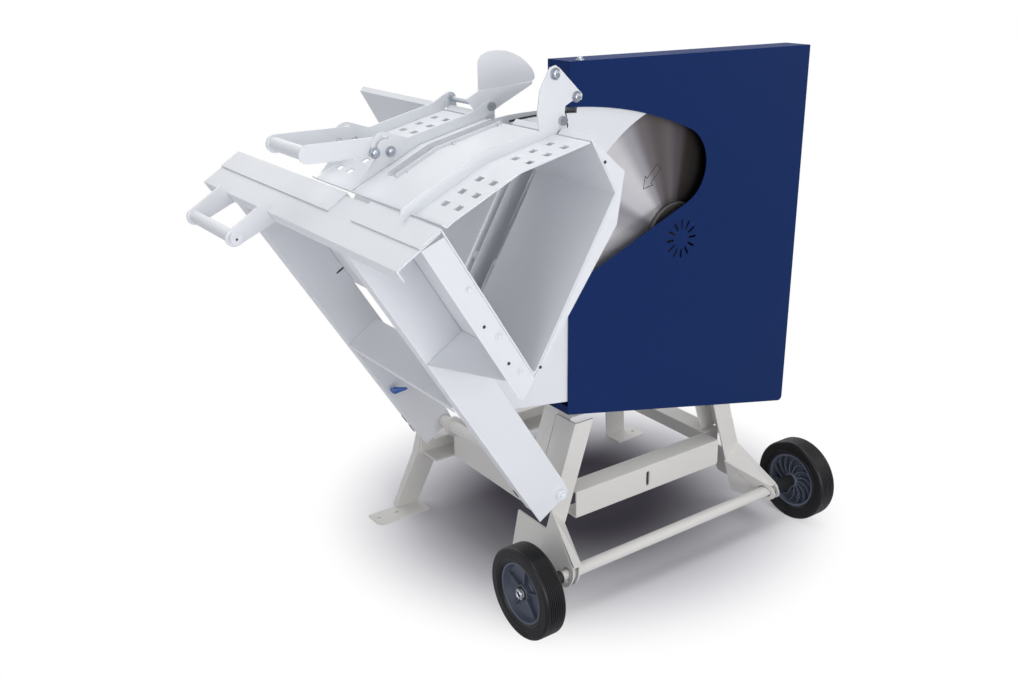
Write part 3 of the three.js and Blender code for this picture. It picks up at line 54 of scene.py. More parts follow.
pivotPlace = Vector(jointNamed["rocker_swing"]["pos_m"])
arborPlace = Vector(jointNamed["blade_spin"]["pos_m"])
rockerTilt = math.radians(31.6)
shiftY = -0.263  # metres from the part's own Y, as it is drawn, to the frame's Y
plainWhite = (1, 1, 1, 1)
alongX = Vector((1, 0, 0))
alongY = Vector((0, 1, 0))


def linearColour(hexText):
    channels = [int(hexText[i:i + 2], 16) / 255 for i in (1, 3, 5)]
    return [c / 12.92 if c <= 0.04045 else ((c + 0.055) / 1.055) ** 2.4 for c in channels] + [1.0]


def darkerColour(hexText, share):
    return [c * share for c in linearColour(hexText)[:3]] + [1.0]


def setInputs(tree, node, inputs):
    # An input takes a value or another node's output
    for name, value in inputs.items():
        if isinstance(value, bpy.types.NodeSocket):
            tree.links.new(value, node.inputs[name])
        else:
            node.inputs[name].default_value = value


def addNode(tree, kind, settings=None, inputs=None):
    node = tree.nodes.new(kind)
    for name, value in (settings or {}).items():
        setattr(node, name, value)
    setInputs(tree, node, inputs or {})
    return node


def calculate(tree, operation, first, second):
    return addNode(tree, "ShaderNodeMath", {"operation": operation}, {0: first, 1: second}).outputs[0]


def calculateVector(tree, operation, first, second):
    return addNode(tree, "ShaderNodeVectorMath", {"operation": operation}, {0: first, 1: second}).outputs[0]


def vectorLength(tree, vector):
    return addNode(tree, "ShaderNodeVectorMath", {"operation": "LENGTH"}, {0: vector}).outputs["Value"]


def easedShare(tree, value, start, end):
    # 0 up to the start, 1 from the end on, and a soft change between them
    return addNode(tree, "ShaderNodeMapRange", {"interpolation_type": "SMOOTHSTEP"},
        {"Value": value, "From Min": start, "From Max": end}).outputs["Result"]


def stretchedTo(tree, share, low, high):
    return addNode(tree, "ShaderNodeMapRange",
        inputs={"Value": share, "To Min": low, "To Max": high}).outputs["Result"]


def mixedColour(tree, share, first, second, blend="MIX"):
    # Sockets 6 and 7 are the two colours, and 2 is the mixed one
    return addNode(tree, "ShaderNodeMix", {"data_type": "RGBA", "blend_type": blend},
        {"Factor": share, 6: first, 7: second}).outputs[2]


def mixedShader(tree, share, first, second):
    return addNode(tree, "ShaderNodeMixShader", inputs={0: share, 1: first, 2: second}).outputs[0]


def grainNoise(tree, place, sizeMm, detail, **more):
    return addNode(tree, "ShaderNodeTexNoise",
        inputs={"Vector": place, "Scale": 1 / (sizeMm * mm), "Detail": detail, **more}).outputs["Fac"]


def ringNoise(tree, radius, wideMm, detail):
    return addNode(tree, "ShaderNodeTexNoise", {"noise_dimensions": "1D"},
        {"W": radius, "Scale": 1 / (wideMm * mm), "Detail": detail}).outputs["Fac"]


def relief(tree, height, strength, deepMm):
    return addNode(tree, "ShaderNodeBump",
        inputs={"Height": height, "Strength": strength, "Distance": deepMm * mm}).outputs["Normal"]


def newMaterial(name):
    material = bpy.data.materials.new(name)
    material.use_nodes = True
    tree = material.node_tree
    shader = tree.nodes["Principled BSDF"]
    place = addNode(tree, "ShaderNodeTexCoord").outputs["Object"]
    return material, tree, shader, place


def linkObject(name, data):
    holder = bpy.data.objects.new(name, data)
    bpy.context.scene.collection.objects.link(holder)
    return holder


def deselectAll():
    if bpy.context.mode != "OBJECT":
        bpy.ops.object.mode_set(mode="OBJECT")
    bpy.ops.object.select_all(action="DESELECT")


def makeActive(piece):
    deselectAll()
    piece.select_set(True)
    bpy.context.view_layer.objects.active = piece


def addShape(operator, **settings):
    deselectAll()
    operator(**settings)
    return bpy.context.active_object


def editMesh(piece, *steps):
    # Runs each step, an operator with its settings, on the whole mesh
    makeActive(piece)
    bpy.ops.object.mode_set(mode="EDIT")
    for operator, settings in steps:
        bpy.ops.mesh.select_all(action="SELECT")
        operator(**settings)
    bpy.ops.object.mode_set(mode="OBJECT")


def applyPlace(piece):
    makeActive(piece)
    bpy.ops.object.transform_apply(location=True, rotation=True, scale=True)


def addModifier(piece, kind, **settings):
    makeActive(piece)
    modifier = piece.modifiers.new(kind.title(), kind)
    for name, value in settings.items():
        setattr(modifier, name, value)
    bpy.ops.object.modifier_apply(modifier=modifier.name)


def smoothByAngle(piece, angle=30):
    makeActive(piece)
    bpy.ops.object.shade_smooth_by_angle(angle=math.radians(angle))


def joinPieces(pieces, name):
    deselectAll()
    for piece in pieces:
        piece.select_set(True)
    bpy.context.view_layer.objects.active = pieces[0]
    bpy.ops.object.join()
    pieces[0].name = name
    return pieces[0]


def finishPiece(piece, body, slot, replaced=(), material=None):
    # The slot's own finish, unless another material is given
    piece.data.materials.clear()
    piece.data.materials.append(material or finishes[slot])
    for polygon in piece.data.polygons:
        polygon.material_index = 0
    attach(piece, body)
    if replaced:
        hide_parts(*replaced)


def rockerPoint(across, along, up):
    # A place in the rocker's own axes, in millimetres from its pivot, as a point of the frame
    x = pivotPlace.x + (across * math.cos(rockerTilt) - up * math.sin(rockerTilt)) * mm
    z = pivotPlace.z + (across * math.sin(rockerTilt) + up * math.cos(rockerTilt)) * mm
    return Vector((x, along * mm + shiftY, z))


def turned(name, profile, centre, axis, steps):
    # Spins a drawn profile of (radius, along) points about an axis through the centre
    across = Vector((0, 0, 1))
    mesh = bpy.data.meshes.new(name)
    points = [centre + across * radius + axis * along for radius, along in profile]
    mesh.from_pydata(points, [(i, i + 1) for i in range(len(points) - 1)], [])
    piece = linkObject(name, mesh)
    editMesh(piece,
        (bpy.ops.mesh.spin, {"steps": steps, "angle": 2 * math.pi, "center": centre, "axis": axis}),
        (bpy.ops.mesh.remove_doubles, {"threshold": 0.01 * mm}),
        (bpy.ops.mesh.normals_make_consistent, {"inside": False}))
    return piece


def flatSheet(name, outline, y, form):
    # A sheet cut to an outline in the X-Z plane, its cut edges eased
    mesh = bpy.data.meshes.new(name)
    mesh.from_pydata([(x * mm, y, z * mm) for x, z in outline], [], [tuple(range(len(outline)))])
    piece = linkObject(name, mesh)
    editMesh(piece,
        (bpy.ops.mesh.extrude_region_move, {"TRANSFORM_OT_translate": {"value": (0, form["thick"] * mm, 0)}}),
        (bpy.ops.mesh.normals_make_consistent, {"inside": False}))
    addModifier(piece, "BEVEL", width=form["edge"] * mm, segments=2, limit_method="ANGLE",
        angle_limit=math.radians(50))
    smoothByAngle(piece)
    return piece


print("stage: camera, light and floor")
photoCamera = {
    "place": (-1.3184, -1.799, 1.3736), "yaw": 34.92, "pitch": 20.66, "roll": 0.86, "lens": 37.78, "sensor": 36,
}
studio = {
    "skyTone": "#F2F5FA", "skyLight": 0.36,
    "lamps": {
        "topLamp": {"place": (0.1, 0.1, 3.3), "aim": (0, 0, 0.4), "size": 2.4, "watts": 44},
        "leftLamp": {"place": (-3.2, -0.9, 1.5), "aim": (0, 0, 0.6), "size": 1.8, "watts": 22},
        "frontLamp": {"place": (-0.5, -3.6, 1.1), "aim": (0, 0, 0.45), "size": 2.0, "watts": 56},
        "rightLamp": {"place": (3.2, -1.2, 1.4), "aim": (0, 0, 0.5), "size": 1.6, "watts": 12},
        "backLamp": {"place": (0.6, 3.4, 2.0), "aim": (0, 0, 0.6), "size": 2.0, "watts": 12},
    },
    # A painted shadow on the floor: its tone, its centre, and the distances over which it fades into the floor's
    # grey
    "floorSize": 120, "floorGrey": "#E9E8EC", "paintedShadowTone": "#524E57", "paintedShadowCentre": (0.25, 0.14, 0),
    "paintedShadowFrom": 0.16, "paintedShadowTo": 0.54, "whiteFrom": 0.42, "whiteTo": 0.7,
}


def placeCamera():
    yaw, pitch, roll = (math.radians(photoCamera[name]) for name in ("yaw", "pitch", "roll"))
    forward = Vector((math.sin(yaw) * math.cos(pitch), math.cos(yaw) * math.cos(pitch), -math.sin(pitch)))
    level = Vector((math.cos(yaw), -math.sin(yaw), 0))
    down = forward.cross(level)
    right = level * math.cos(roll) + down * math.sin(roll)
    low = down * math.cos(roll) - level * math.sin(roll)
    lens = bpy.data.cameras.new("photoCamera")
    lens.lens = photoCamera["lens"]
    lens.sensor_width = photoCamera["sensor"]
    camera = linkObject("photoCamera", lens)
    turn = Matrix((right, -low, -forward)).transposed()
    camera.matrix_world = Matrix.Translation(photoCamera["place"]) @ turn.to_4x4()
    bpy.context.scene.camera = camera


def addLamp(name, place, aim, size, watts):
    lamp = bpy.data.lights.new(name, "AREA")
    lamp.energy = watts
    lamp.size = size
    holder = linkObject(name, lamp)
    holder.location = place
    holder.rotation_mode = "QUATERNION"
    holder.rotation_quaternion = (Vector(aim) - Vector(place)).to_track_quat("-Z", "Y")


def lightScene():
    world = bpy.data.worlds.new("studioWorld")
    bpy.context.scene.world = world
    world.use_nodes = True
    tree = world.node_tree
    tree.nodes.clear()
    # The camera and the glossy finishes see plain white; matt surfaces get a soft, dimmer sky
    path = addNode(tree, "ShaderNodeLightPath")
    seen = calculate(tree, "MAXIMUM", path.outputs["Is Camera Ray"], path.outputs["Is Glossy Ray"])
    shown = calculate(tree, "MAXIMUM", seen, path.outputs["Is Transmission Ray"])
    soft = addNode(tree, "ShaderNodeBackground",
        inputs={"Color": linearColour(studio["skyTone"]), "Strength": studio["skyLight"]})
    white = addNode(tree, "ShaderNodeBackground", inputs={"Color": plainWhite, "Strength": 1.0})
    mixed = mixedShader(tree, shown, soft.outputs[0], white.outputs[0])
    addNode(tree, "ShaderNodeOutputWorld", inputs={"Surface": mixed})
    for name, lamp in studio["lamps"].items():
        addLamp(name, **lamp)
    bpy.context.scene.view_settings.view_transform = "Standard"


def layFloor():
    # Pale painted floor: it takes the saw's soft shadow, and a painted shadow darkens its colour
    # towards the middle of the frame; it runs out into plain white around it
    floor = addShape(bpy.ops.mesh.primitive_plane_add, size=studio["floorSize"], location=(0, 0, 0))
    floor.name = "studioFloor"
    material, tree, shader, place = newMaterial("paleStudioFloor")
    path = addNode(tree, "ShaderNodeLightPath")
    far = vectorLength(tree, calculateVector(tree, "SUBTRACT", place, studio["paintedShadowCentre"]))
    # Painted shadow: the floor's colour turns to the shadow tone towards the centre
    outsidePaintedShadow = easedShare(tree, far, studio["paintedShadowFrom"], studio["paintedShadowTo"])
    tone = mixedColour(tree, outsidePaintedShadow, linearColour(studio["paintedShadowTone"]), linearColour(studio["floorGrey"]))
    diffuse = addNode(tree, "ShaderNodeBsdfDiffuse", inputs={"Color": tone})
    share = easedShare(tree, far, studio["whiteFrom"], studio["whiteTo"])
    seen = calculate(tree, "MULTIPLY", share, path.outputs["Is Camera Ray"])
    white = addNode(tree, "ShaderNodeEmission", inputs={"Color": plainWhite, "Strength": 1.0})
    mixed = mixedShader(tree, seen, diffuse.outputs[0], white.outputs[0])
    tree.nodes.remove(shader)
    tree.links.new(mixed, tree.nodes["Material Output"].inputs["Surface"])
    floor.data.materials.append(material)


placeCamera()
lightScene()
layFloor()

print("stage: finishes")


def powderCoat(name, colour, roughness, grainMm=1.6, grainDepth=0.05, specular=0.4):
    # Powder-coated sheet steel: a satin skin with a fine orange peel that softens every reflection
    material, tree, shader, place = newMaterial(name)
    patches = grainNoise(tree, place, sizeMm=180, detail=3.0)
    peel = grainNoise(tree, place, sizeMm=grainMm, detail=2.0)
    setInputs(tree, shader, {
        "Base Color": mixedColour(tree, patches, linearColour(colour), darkerColour(colour, 0.955)),
        "Roughness": stretchedTo(tree, patches, roughness - 0.04, roughness + 0.05),
        "Normal": relief(tree, peel, strength=grainDepth, deepMm=0.4),
        "Specular IOR Level": specular,
    })
    return material


def zincPlate(name, colour, blueTone):
    # Bright zinc plating: crystalline patches a few millimetres wide, with a faint blue tone
    material, tree, shader, place = newMaterial(name)
    crystals = grainNoise(tree, place, sizeMm=4, detail=2.0)
    setInputs(tree, shader, {
        "Base Color": mixedColour(tree, crystals, linearColour(colour), linearColour(blueTone)),
        "Roughness": stretchedTo(tree, crystals, low=0.2, high=0.38),
        "Metallic": 1.0,
    })
    return material


bladeLook = {
    "paleGrey": "#F4F3F4", "darkGrey": "#D0CECE", "metallic": 0.6, "anisotropic": 0.85,
    "ringMm": 1.2, "bandMm": 20,  # real grinding marks are near 0.2 mm wide; these are wide enough to show
    # Turn about the arbor in degrees from +X up towards +Z, and the tone of the painted reflection there
    "paintedReflectionTones": [
        (-179, "#F4F5F8"), (-150, "#8C8884"), (-110, "#C4C4C6"), (-70, "#7A7672"), (-20, "#B0B0B2"),
        (25, "#3A3432"), (60, "#252120"), (72, "#332E2D"), (80, "#38322F"), (88, "#676164"), (96, "#847E7F"),
        (104, "#777170"), (112, "#8E898B"), (120, "#CAC9CE"), (129, "#FFFFFF"), (143, "#F4F4F8"),
        (152, "#B4B4B8"), (160, "#C6C7CC"), (172, "#FFFFFF"),
    ],
}


def paintedReflectionFans(tree, centred):
    # Painted reflection: the colour is lightened and darkened in fans about the arbor, as the rings would mirror
    # the room: two bright ones up and to the left of the arbor, dark between them
    parts = addNode(tree, "ShaderNodeSeparateXYZ", inputs={0: centred})
    turn = calculate(tree, "ARCTAN2", parts.outputs["Z"], parts.outputs["X"])
    along = addNode(tree, "ShaderNodeMapRange", inputs={"Value": turn, "From Min": -math.pi, "From Max": math.pi})
    paintedFanRamp = addNode(tree, "ShaderNodeValToRGB", inputs={"Fac": along.outputs["Result"]})
    ramp = paintedFanRamp.color_ramp
    ramp.interpolation = "EASE"
    stops = [(degrees / 360 + 0.5, linearColour(tone)) for degrees, tone in bladeLook["paintedReflectionTones"]]
    while len(ramp.elements) < len(stops):
        ramp.elements.new(0.5)
    # All places come before the colours, because a stop that passes another takes its number
    for element, (position, colour) in zip(ramp.elements, stops):
        element.position = position
    for element, (position, colour) in zip(ramp.elements, stops):
        element.color = colour
    return paintedFanRamp.outputs["Color"]


def groundBlade(name):
    # Saw steel ground in circles: fine rings about the arbor with an anisotropic sheen, and bright wedges painted
    # into the colour as a painted reflection
    material, tree, shader, place = newMaterial(name)
    centred = calculateVector(tree, "SUBTRACT", place, arborPlace)
    radius = vectorLength(tree, calculateVector(tree, "MULTIPLY", centred, (1, 0, 1)))
    rings = ringNoise(tree, radius, wideMm=bladeLook["ringMm"], detail=3.0)
    bands = ringNoise(tree, radius, wideMm=bladeLook["bandMm"], detail=1.0)
    grey = mixedColour(tree, rings, linearColour(bladeLook["paleGrey"]), linearColour(bladeLook["darkGrey"]))
    around = addNode(tree, "ShaderNodeTangent", {"direction_type": "RADIAL", "axis": "Y"})
    setInputs(tree, shader, {
        # The base colour carries the painted reflection's fans
        "Base Color": mixedColour(tree, 1.0, grey, paintedReflectionFans(tree, centred), "MULTIPLY"),
        "Roughness": stretchedTo(tree, bands, low=0.26, high=0.36),
        "Normal": relief(tree, rings, strength=0.12, deepMm=0.3),
        "Tangent": around.outputs["Tangent"],
        "Metallic": bladeLook["metallic"],
        "Anisotropic": bladeLook["anisotropic"],
    })
    return material


def mouldedPlastic(name, colour, roughness, coat=0.0, specular=0.35):
    # Injection-moulded plastic: an even skin with a fine spark-eroded grain
    material, tree, shader, place = newMaterial(name)
    patches = grainNoise(tree, place, sizeMm=50, detail=2.0)
    grain = grainNoise(tree, place, sizeMm=0.9, detail=1.0)
    setInputs(tree, shader, {
        "Base Color": mixedColour(tree, patches, linearColour(colour), darkerColour(colour, 0.85)),
        "Roughness": roughness,
        "Normal": relief(tree, grain, strength=0.08, deepMm=0.3),
        "Specular IOR Level": specular,
        "Coat Weight": coat,
    })
    return material


def solidRubber(name, colour, dustTone):
    # Solid rubber tyre: near black, faintly dusty, with a dull sheen
    material, tree, shader, place = newMaterial(name)
    dust = grainNoise(tree, place, sizeMm=30, detail=6.0, Roughness=0.7)
    pores = grainNoise(tree, place, sizeMm=1.2, detail=3.0)
    setInputs(tree, shader, {
        "Base Color": mixedColour(tree, dust, linearColour(colour), linearColour(dustTone)),
        "Roughness": stretchedTo(tree, dust, low=0.26, high=0.42),
        "Normal": relief(tree, pores, strength=0.2, deepMm=0.4),
        "Specular IOR Level": 0.3,
    })
    return material


def turnedIron(name, colour, paleTone):
    # Turned cast-iron clamping flange: dark, with a speckled oily skin
    material, tree, shader, place = newMaterial(name)
    specks = grainNoise(tree, place, sizeMm=3, detail=4.0, Roughness=0.7)
    setInputs(tree, shader, {
        "Base Color": mixedColour(tree, specks, linearColour(colour), linearColour(paleTone)),
        "Roughness": 0.5,
        "Normal": relief(tree, specks, strength=0.3, deepMm=0.6),
        "Metallic": 0.8,
    })
    return material


finishes = {
    "frame_grey": powderCoat("warmGreyPowderCoat", "#DAD8D4", 0.46),
    "rocker_white": powderCoat("coolWhitePowderCoat", "#E3E5E9", 0.42),
    "guard_blue": powderCoat("navyPowderCoat", "#112A5C", 0.55, specular=0.08),
    "tyre_black": solidRubber("solidRubberTyre", "#08080A", "#131317"),
    "rim_slate": mouldedPlastic("slateNylonRim", "#565D6C", 0.4, specular=0.5),
    "zinc": zincPlate("brightZincPlate", "#C9CCD0", "#A4ACB8"),
    "flange_iron": turnedIron("turnedIronFlange", "#2E2D30", "#6B6968"),
    "blade_steel": groundBlade("groundSawSteel"),
    "black_plastic": mouldedPlastic("blackAbs", "#1A1B1D", 0.55),
    "motor_grey": powderCoat("greyMotorEnamel", "#777B80", 0.45, grainMm=2.5, grainDepth=0.15),
    "fan_cover_grey": mouldedPlastic("greyFanCover", "#6E7277", 0.5),
    "start_green": mouldedPlastic("greenButton", "#1F8A45", 0.3, coat=0.3),
    "stop_red": mouldedPlastic("redButton", "#C02A24", 0.3, coat=0.3),
    "inlet_blue": mouldedPlastic("blueInletNylon", "#1F4FA0", 0.42),
    "lever_blue": mouldedPlastic("dippedBlueVinyl", "#2157A8", 0.3, coat=0.4),
}
# A dark finish for the blade's etched arrow, also used as painted shade in holes and slots
inkAndPaintedShade = mouldedPlastic("etchedMarkAndPaintedShade", "#3A3836", 0.6)
paintedSteel = powderCoat("whitePaintedSteel", "#E9ECF2", 0.35, specular=0.5)

for nodeName, cadNode in frame["nodes"].items():
    cadNode.data.materials.clear()
    cadNode.data.materials.append(finishes[slotOfNode[nodeName]])
frame["nodes"]["pivot_shaft"].data.materials[0] = paintedSteel

print("stage: sheet metal")
sheetForm = {
    "foldRadius": 3.2, "foldSteps": 4, "foldFaceMm2": 900, "leastBend": 15, "mostBend": 120,
    "edgeRadius": 0.55, "edgeSteps": 2, "edgeAngle": 40, "flatAngle": 1.0, "weldMm": 0.02,
}
sheetNodes = [
    "front_beam", "side_beam_left", "side_beam_right", "rear_beam", "near_leg_left", "near_leg_right",
    "console_post_left", "console_post_right", "motor_console", "far_leg_left", "far_leg_right",
    "guard_front", "guard_back", "rocker_leg_near", "rocker_leg_far", "top_plate", "trough_near", "trough_far",
    "gable_near", "gable_slot_near", "gable_slot_far", "gable_far", "leg_shelf", "gusset_shelf",
    "blade_cover_near", "blade_cover_far", "hold_down_near", "hold_down_middle", "hold_down_far",
    "hold_arm_middle", "hold_arm_far", "upper_handle", "switch_box", "terminal_box",
]
# Edge and fold radius of the sheets whose thin bent ends a rounded fold would tear
sharpSheets = {
    "trough_near": (0.4, 0), "side_beam_left": (0.4, 0), "side_beam_right": (0.4, 0), "upper_handle": (0, 0),
}


def roundFolds(piece, radius):
    # Only edges between two large faces count as folds; the bevel takes them by their weight
    mesh = piece.data
    facesOfEdge = {}
    for face in mesh.polygons:
        for key in face.edge_keys:
            facesOfEdge.setdefault(key, []).append(face)
    weights = mesh.attributes.new("bevel_weight_edge", "FLOAT", "EDGE")
    for edge in mesh.edges:
        pair = facesOfEdge.get(edge.key, [])
        if len(pair) != 2 or min(face.area for face in pair) < sheetForm["foldFaceMm2"] * mm * mm:
            continue
        bend = math.degrees(pair[0].normal.angle(pair[1].normal, 0))
        if sheetForm["leastBend"] < bend < sheetForm["mostBend"]:
            weights.data[edge.index].value = 1.0
    addModifier(piece, "BEVEL", width=radius * mm, segments=sheetForm["foldSteps"], limit_method="WEIGHT",
        use_clamp_overlap=True)
    if "bevel_weight_edge" in piece.data.attributes:
        piece.data.attributes.remove(piece.data.attributes["bevel_weight_edge"])


def softenSheet(nodeName, edgeRadius, foldRadius):
    # A copy of the CAD sheet with its doubles merged, its folds rounded and its cut edges eased
    piece = linkObject(nodeName + "Sheet", frame["nodes"][nodeName].data.copy())
    editMesh(piece,
        (bpy.ops.mesh.remove_doubles, {"threshold": sheetForm["weldMm"] * mm}),
        (bpy.ops.mesh.dissolve_limited, {"angle_limit": math.radians(sheetForm["flatAngle"])}))
    if foldRadius:
        roundFolds(piece, foldRadius)
    if edgeRadius:
        addModifier(piece, "BEVEL", width=edgeRadius * mm, segments=sheetForm["edgeSteps"], limit_method="ANGLE",
            angle_limit=math.radians(sheetForm["edgeAngle"]), use_clamp_overlap=True)
    smoothByAngle(piece)
    # Flat faces keep their own normal, so that no shading runs out of the folds across them
    addModifier(piece, "WEIGHTED_NORMAL", mode="FACE_AREA", weight=50, keep_sharp=True)
    finishPiece(piece, bodyOfNode[nodeName], slotOfNode[nodeName], [nodeName])


for nodeName in sheetNodes:
    edgeRadius, foldRadius = sharpSheets.get(nodeName, (sheetForm["edgeRadius"], sheetForm["foldRadius"]))
    softenSheet(nodeName, edgeRadius, foldRadius)

finForm = {
    "outline": [
        (-187.7, 1102.7), (-187.3, 1148.2), (-186.1, 1159.0), (-179.1, 1167.6), (-167.7, 1172.2),
        (-154.1, 1174.0), (-140.4, 1174.0), (-124.3, 1172.2), (-105.8, 1166.2), (-87.1, 1156.9),
        (-73.0, 1146.2), (-61.2, 1133.4), (-55.7, 1123.1), (-55.3, 1115.5), (-61.3, 1110.3),
    ],
    "foot": [
        (-217.0, 1089.5), (-189.6, 1102.4), (-127.5, 1106.7), (-62.2, 1110.0), (-63.4, 1105.0),
        (-99.5, 1088.2), (-135.2, 1072.5), (-158.7, 1060.6), (-177.2, 1057.7), (-199.7, 1068.4),
    ],
    "footAhead": 2.2, "thick": 2.0, "edge": 0.5,
}


def makeFin():
    # The sail-shaped fin with its round crown, and the foot that ties it to the hold-down's arm
    low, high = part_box("sail_fin")
    fin = flatSheet("sailFinSheet", finForm["outline"], low[1], finForm)
    foot = flatSheet("sailFinFoot", finForm["foot"], low[1] - finForm["footAhead"] * mm, finForm)
    piece = joinPieces([fin, foot], "sailFinSheet")
    finishPiece(piece, bodyOfNode["sail_fin"], "rocker_white", ["sail_fin"])


makeFin()

flangeForm = {
    "outline": [
        (-494.2, 953.4), (-492.8, 961.4), (-486.0, 967.0), (-455.2, 982.3), (-424.1, 996.1),
        (-362.6, 1023.8), (-295.4, 1045.8), (-293.6, 1034.6), (-363.0, 1011.3), (-424.8, 981.2),
        (-460.3, 956.4), (-472.3, 944.9), (-485.4, 945.3),
    ],
    "plane": -0.3158, "thick": 2.2, "edge": 0.5,
}


def makeFlangeEnd():
    # The near wing's upright flange keeps its full height up to a round left end
    piece = flatSheet("holdFlangeEnd", flangeForm["outline"], flangeForm["plane"], flangeForm)
    finishPiece(piece, bodyOfNode["hold_down_near"], "rocker_white")


makeFlangeEnd()

handleForm = {
    "across": -155, "up": 789, "near": 324, "far": 560, "barRadius": 12.6, "barEdge": 1,
    "armPlaces": (336.5, 542.5), "armFoot": ((-74.6, 760), (-74.6, 805.7)), "armRound": 17,
    "thick": 5, "edge": 0.6, "dotSize": 0.5,
}


def makeLowerHandle():
    # A round bar through two arms with round ends
    form = handleForm
    near, far, radius, edge = (form[name] * mm for name in ("near", "far", "barRadius", "barEdge"))
    profile = [(0, near), (radius - edge, near), (radius, near + edge), (radius, far - edge), (radius - edge, far),
        (0, far)]
    bar = turned("lowerHandleBar", profile, rockerPoint(form["across"], 0, form["up"]), alongY, steps=48)
    smoothByAngle(bar, 40)
    outline = list(form["armFoot"])
    # The arm's round end, a point every 10 degrees
    for degrees in range(80, 270, 10):
        turn = math.radians(degrees)
        outline.append((form["across"] + form["armRound"] * math.cos(turn),
            form["up"] + form["armRound"] * math.sin(turn)))
    flat = [rockerPoint(across, 0, up) / mm for across, up in outline]
    arms = [flatSheet("lowerHandleArm", [(point.x, point.z) for point in flat], shiftY + along * mm, form)
        for along in form["armPlaces"]]
    piece = joinPieces([bar] + arms, "lowerHandleBar")
    finishPiece(piece, bodyOfNode["lower_handle"], "rocker_white", ["lower_handle"])


makeLowerHandle()

print("stage: wheels")
outwardOf = {"left": -1, "right": 1}
tyreForm = {
    "radius": 100, "width": 50, "shoulder": 6, "beadRadius": 67.5, "treadRibs": 8, "grooveDepth": 1.5,
    # Rise from the bead and inset from the side face
    "sideWall": [(0, 5), (2, 2.4), (5.5, 0.6), (9, 0), (10, 0.7), (11.5, 0.7), (12.5, 0)],
    "shoulderFlat": 5,
    "ribShares": (0.1, 0.72), "grooveShares": (0.8, 0.98),
}
rimForm = {
    "radius": 67.2, "half": 20, "wellRadius": 61.5, "hubRadius": 18, "hubInside": 21, "hubOutside": 16.7,
    "boreRadius": 10.4, "bush": [(10.6, 17.2), (15.2, 17.2), (16, 16.4), (16, 16.9), (10.6, 16.9), (10.6, 17.2)],
}
# Webs reach a little into the hub and into the well's wall
webForm = {"intoHub": 1, "intoWell": 1.5, "cuts": 6, "curl": 1.4}
outerWebs = {"count": 5, "thick": 2.6, "deep": 12, "middle": 5.5, "sweep": 0, "fall": 0.55}
innerWebs = {"count": 14, "thick": 2.2, "deep": 15, "middle": -9.5, "sweep": 34, "fall": 0.2}
capForm = {
    "collar": [
        (5.6, 2.2), (6.4, 3.8), (7.6, 4.4), (8.8, 3.6), (9.6, 1.4), (12, 1.1), (12, 0), (5.6, 0), (5.6, 2.2),
    ],
    "core": [(0, 2.6), (4.6, 2.4), (5.5, 1.6), (5.5, 0.4), (0, 0.4)],
    "teeth": 10, "toothOut": 2.1, "toothRadius": 10.4, "toothSize": (1.6, 3.2, 3.4), "toothEdge": 0.5,
}


def turnedWheelPart(name, profile, outward, centre, steps):
    # The profile is in millimetres, and its second numbers count outward along the axle
    return turned(name, [(radius * mm, out * outward * mm) for radius, out in profile], centre, alongX, steps)


def boxCentre(name):
    low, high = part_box(name)
    return (Vector(low) + Vector(high)) / 2


def tyreProfile():
    # From the bead up the side and round the shoulder, across the grooved tread, and down the other side
    form = tyreForm
    half, radius, shoulder = form["width"] / 2, form["radius"], form["shoulder"]
    side = [(form["beadRadius"] + rise, -half + inset) for rise, inset in form["sideWall"]]
    side.append((radius - shoulder - form["shoulderFlat"], -half))
    for degrees in range(0, 90, 20):
        turn = math.radians(degrees)
        side.append((radius - shoulder + shoulder * math.sin(turn), -half + shoulder - shoulder * math.cos(turn)))
    treadHalf = half - shoulder
    pitch = 2 * treadHalf / form["treadRibs"]
    tread = []
    for i in range(form["treadRibs"]):
        start = -treadHalf + i * pitch
        tread += [(radius, start + share * pitch) for share in form["ribShares"]]
        tread += [(radius - form["grooveDepth"], start + share * pitch) for share in form["grooveShares"]]
    mirrored = [(r, -out) for r, out in reversed(side)]
    return side + tread + mirrored + side[:1]


def makeTyre(side):
    name = "tyre_" + side
    piece = turnedWheelPart(name + "Rubber", tyreProfile(), 1, boxCentre(name), steps=128)
    smoothByAngle(piece)
    finishPiece(piece, bodyOfNode[name], "tyre_black", [name])


def makeWeb(form, index, outward):
    # One web between hub and well, swept round the hub as it goes out and lower towards the well
    inner = (rimForm["hubRadius"] - webForm["intoHub"]) * mm
    outer = (rimForm["wellRadius"] + webForm["intoWell"]) * mm
    middle = outward * form["middle"] * mm
    web = addShape(bpy.ops.mesh.primitive_cube_add, size=1, location=(middle, 0, (inner + outer) / 2),
        scale=(form["deep"] * mm, form["thick"] * mm, outer - inner))
    applyPlace(web)
    editMesh(web, (bpy.ops.mesh.subdivide, {"number_cuts": webForm["cuts"]}))
    place = 2 * math.pi * index / form["count"]
    for vertex in web.data.vertices:
        share = max(0, (vertex.co.z - inner) / (outer - inner))
        vertex.co.x = middle + (vertex.co.x - middle) * (1 - form["fall"] * share)
        swept = math.radians(form["sweep"]) * share ** webForm["curl"]
        vertex.co = Matrix.Rotation(swept + place, 3, "X") @ vertex.co
    return web


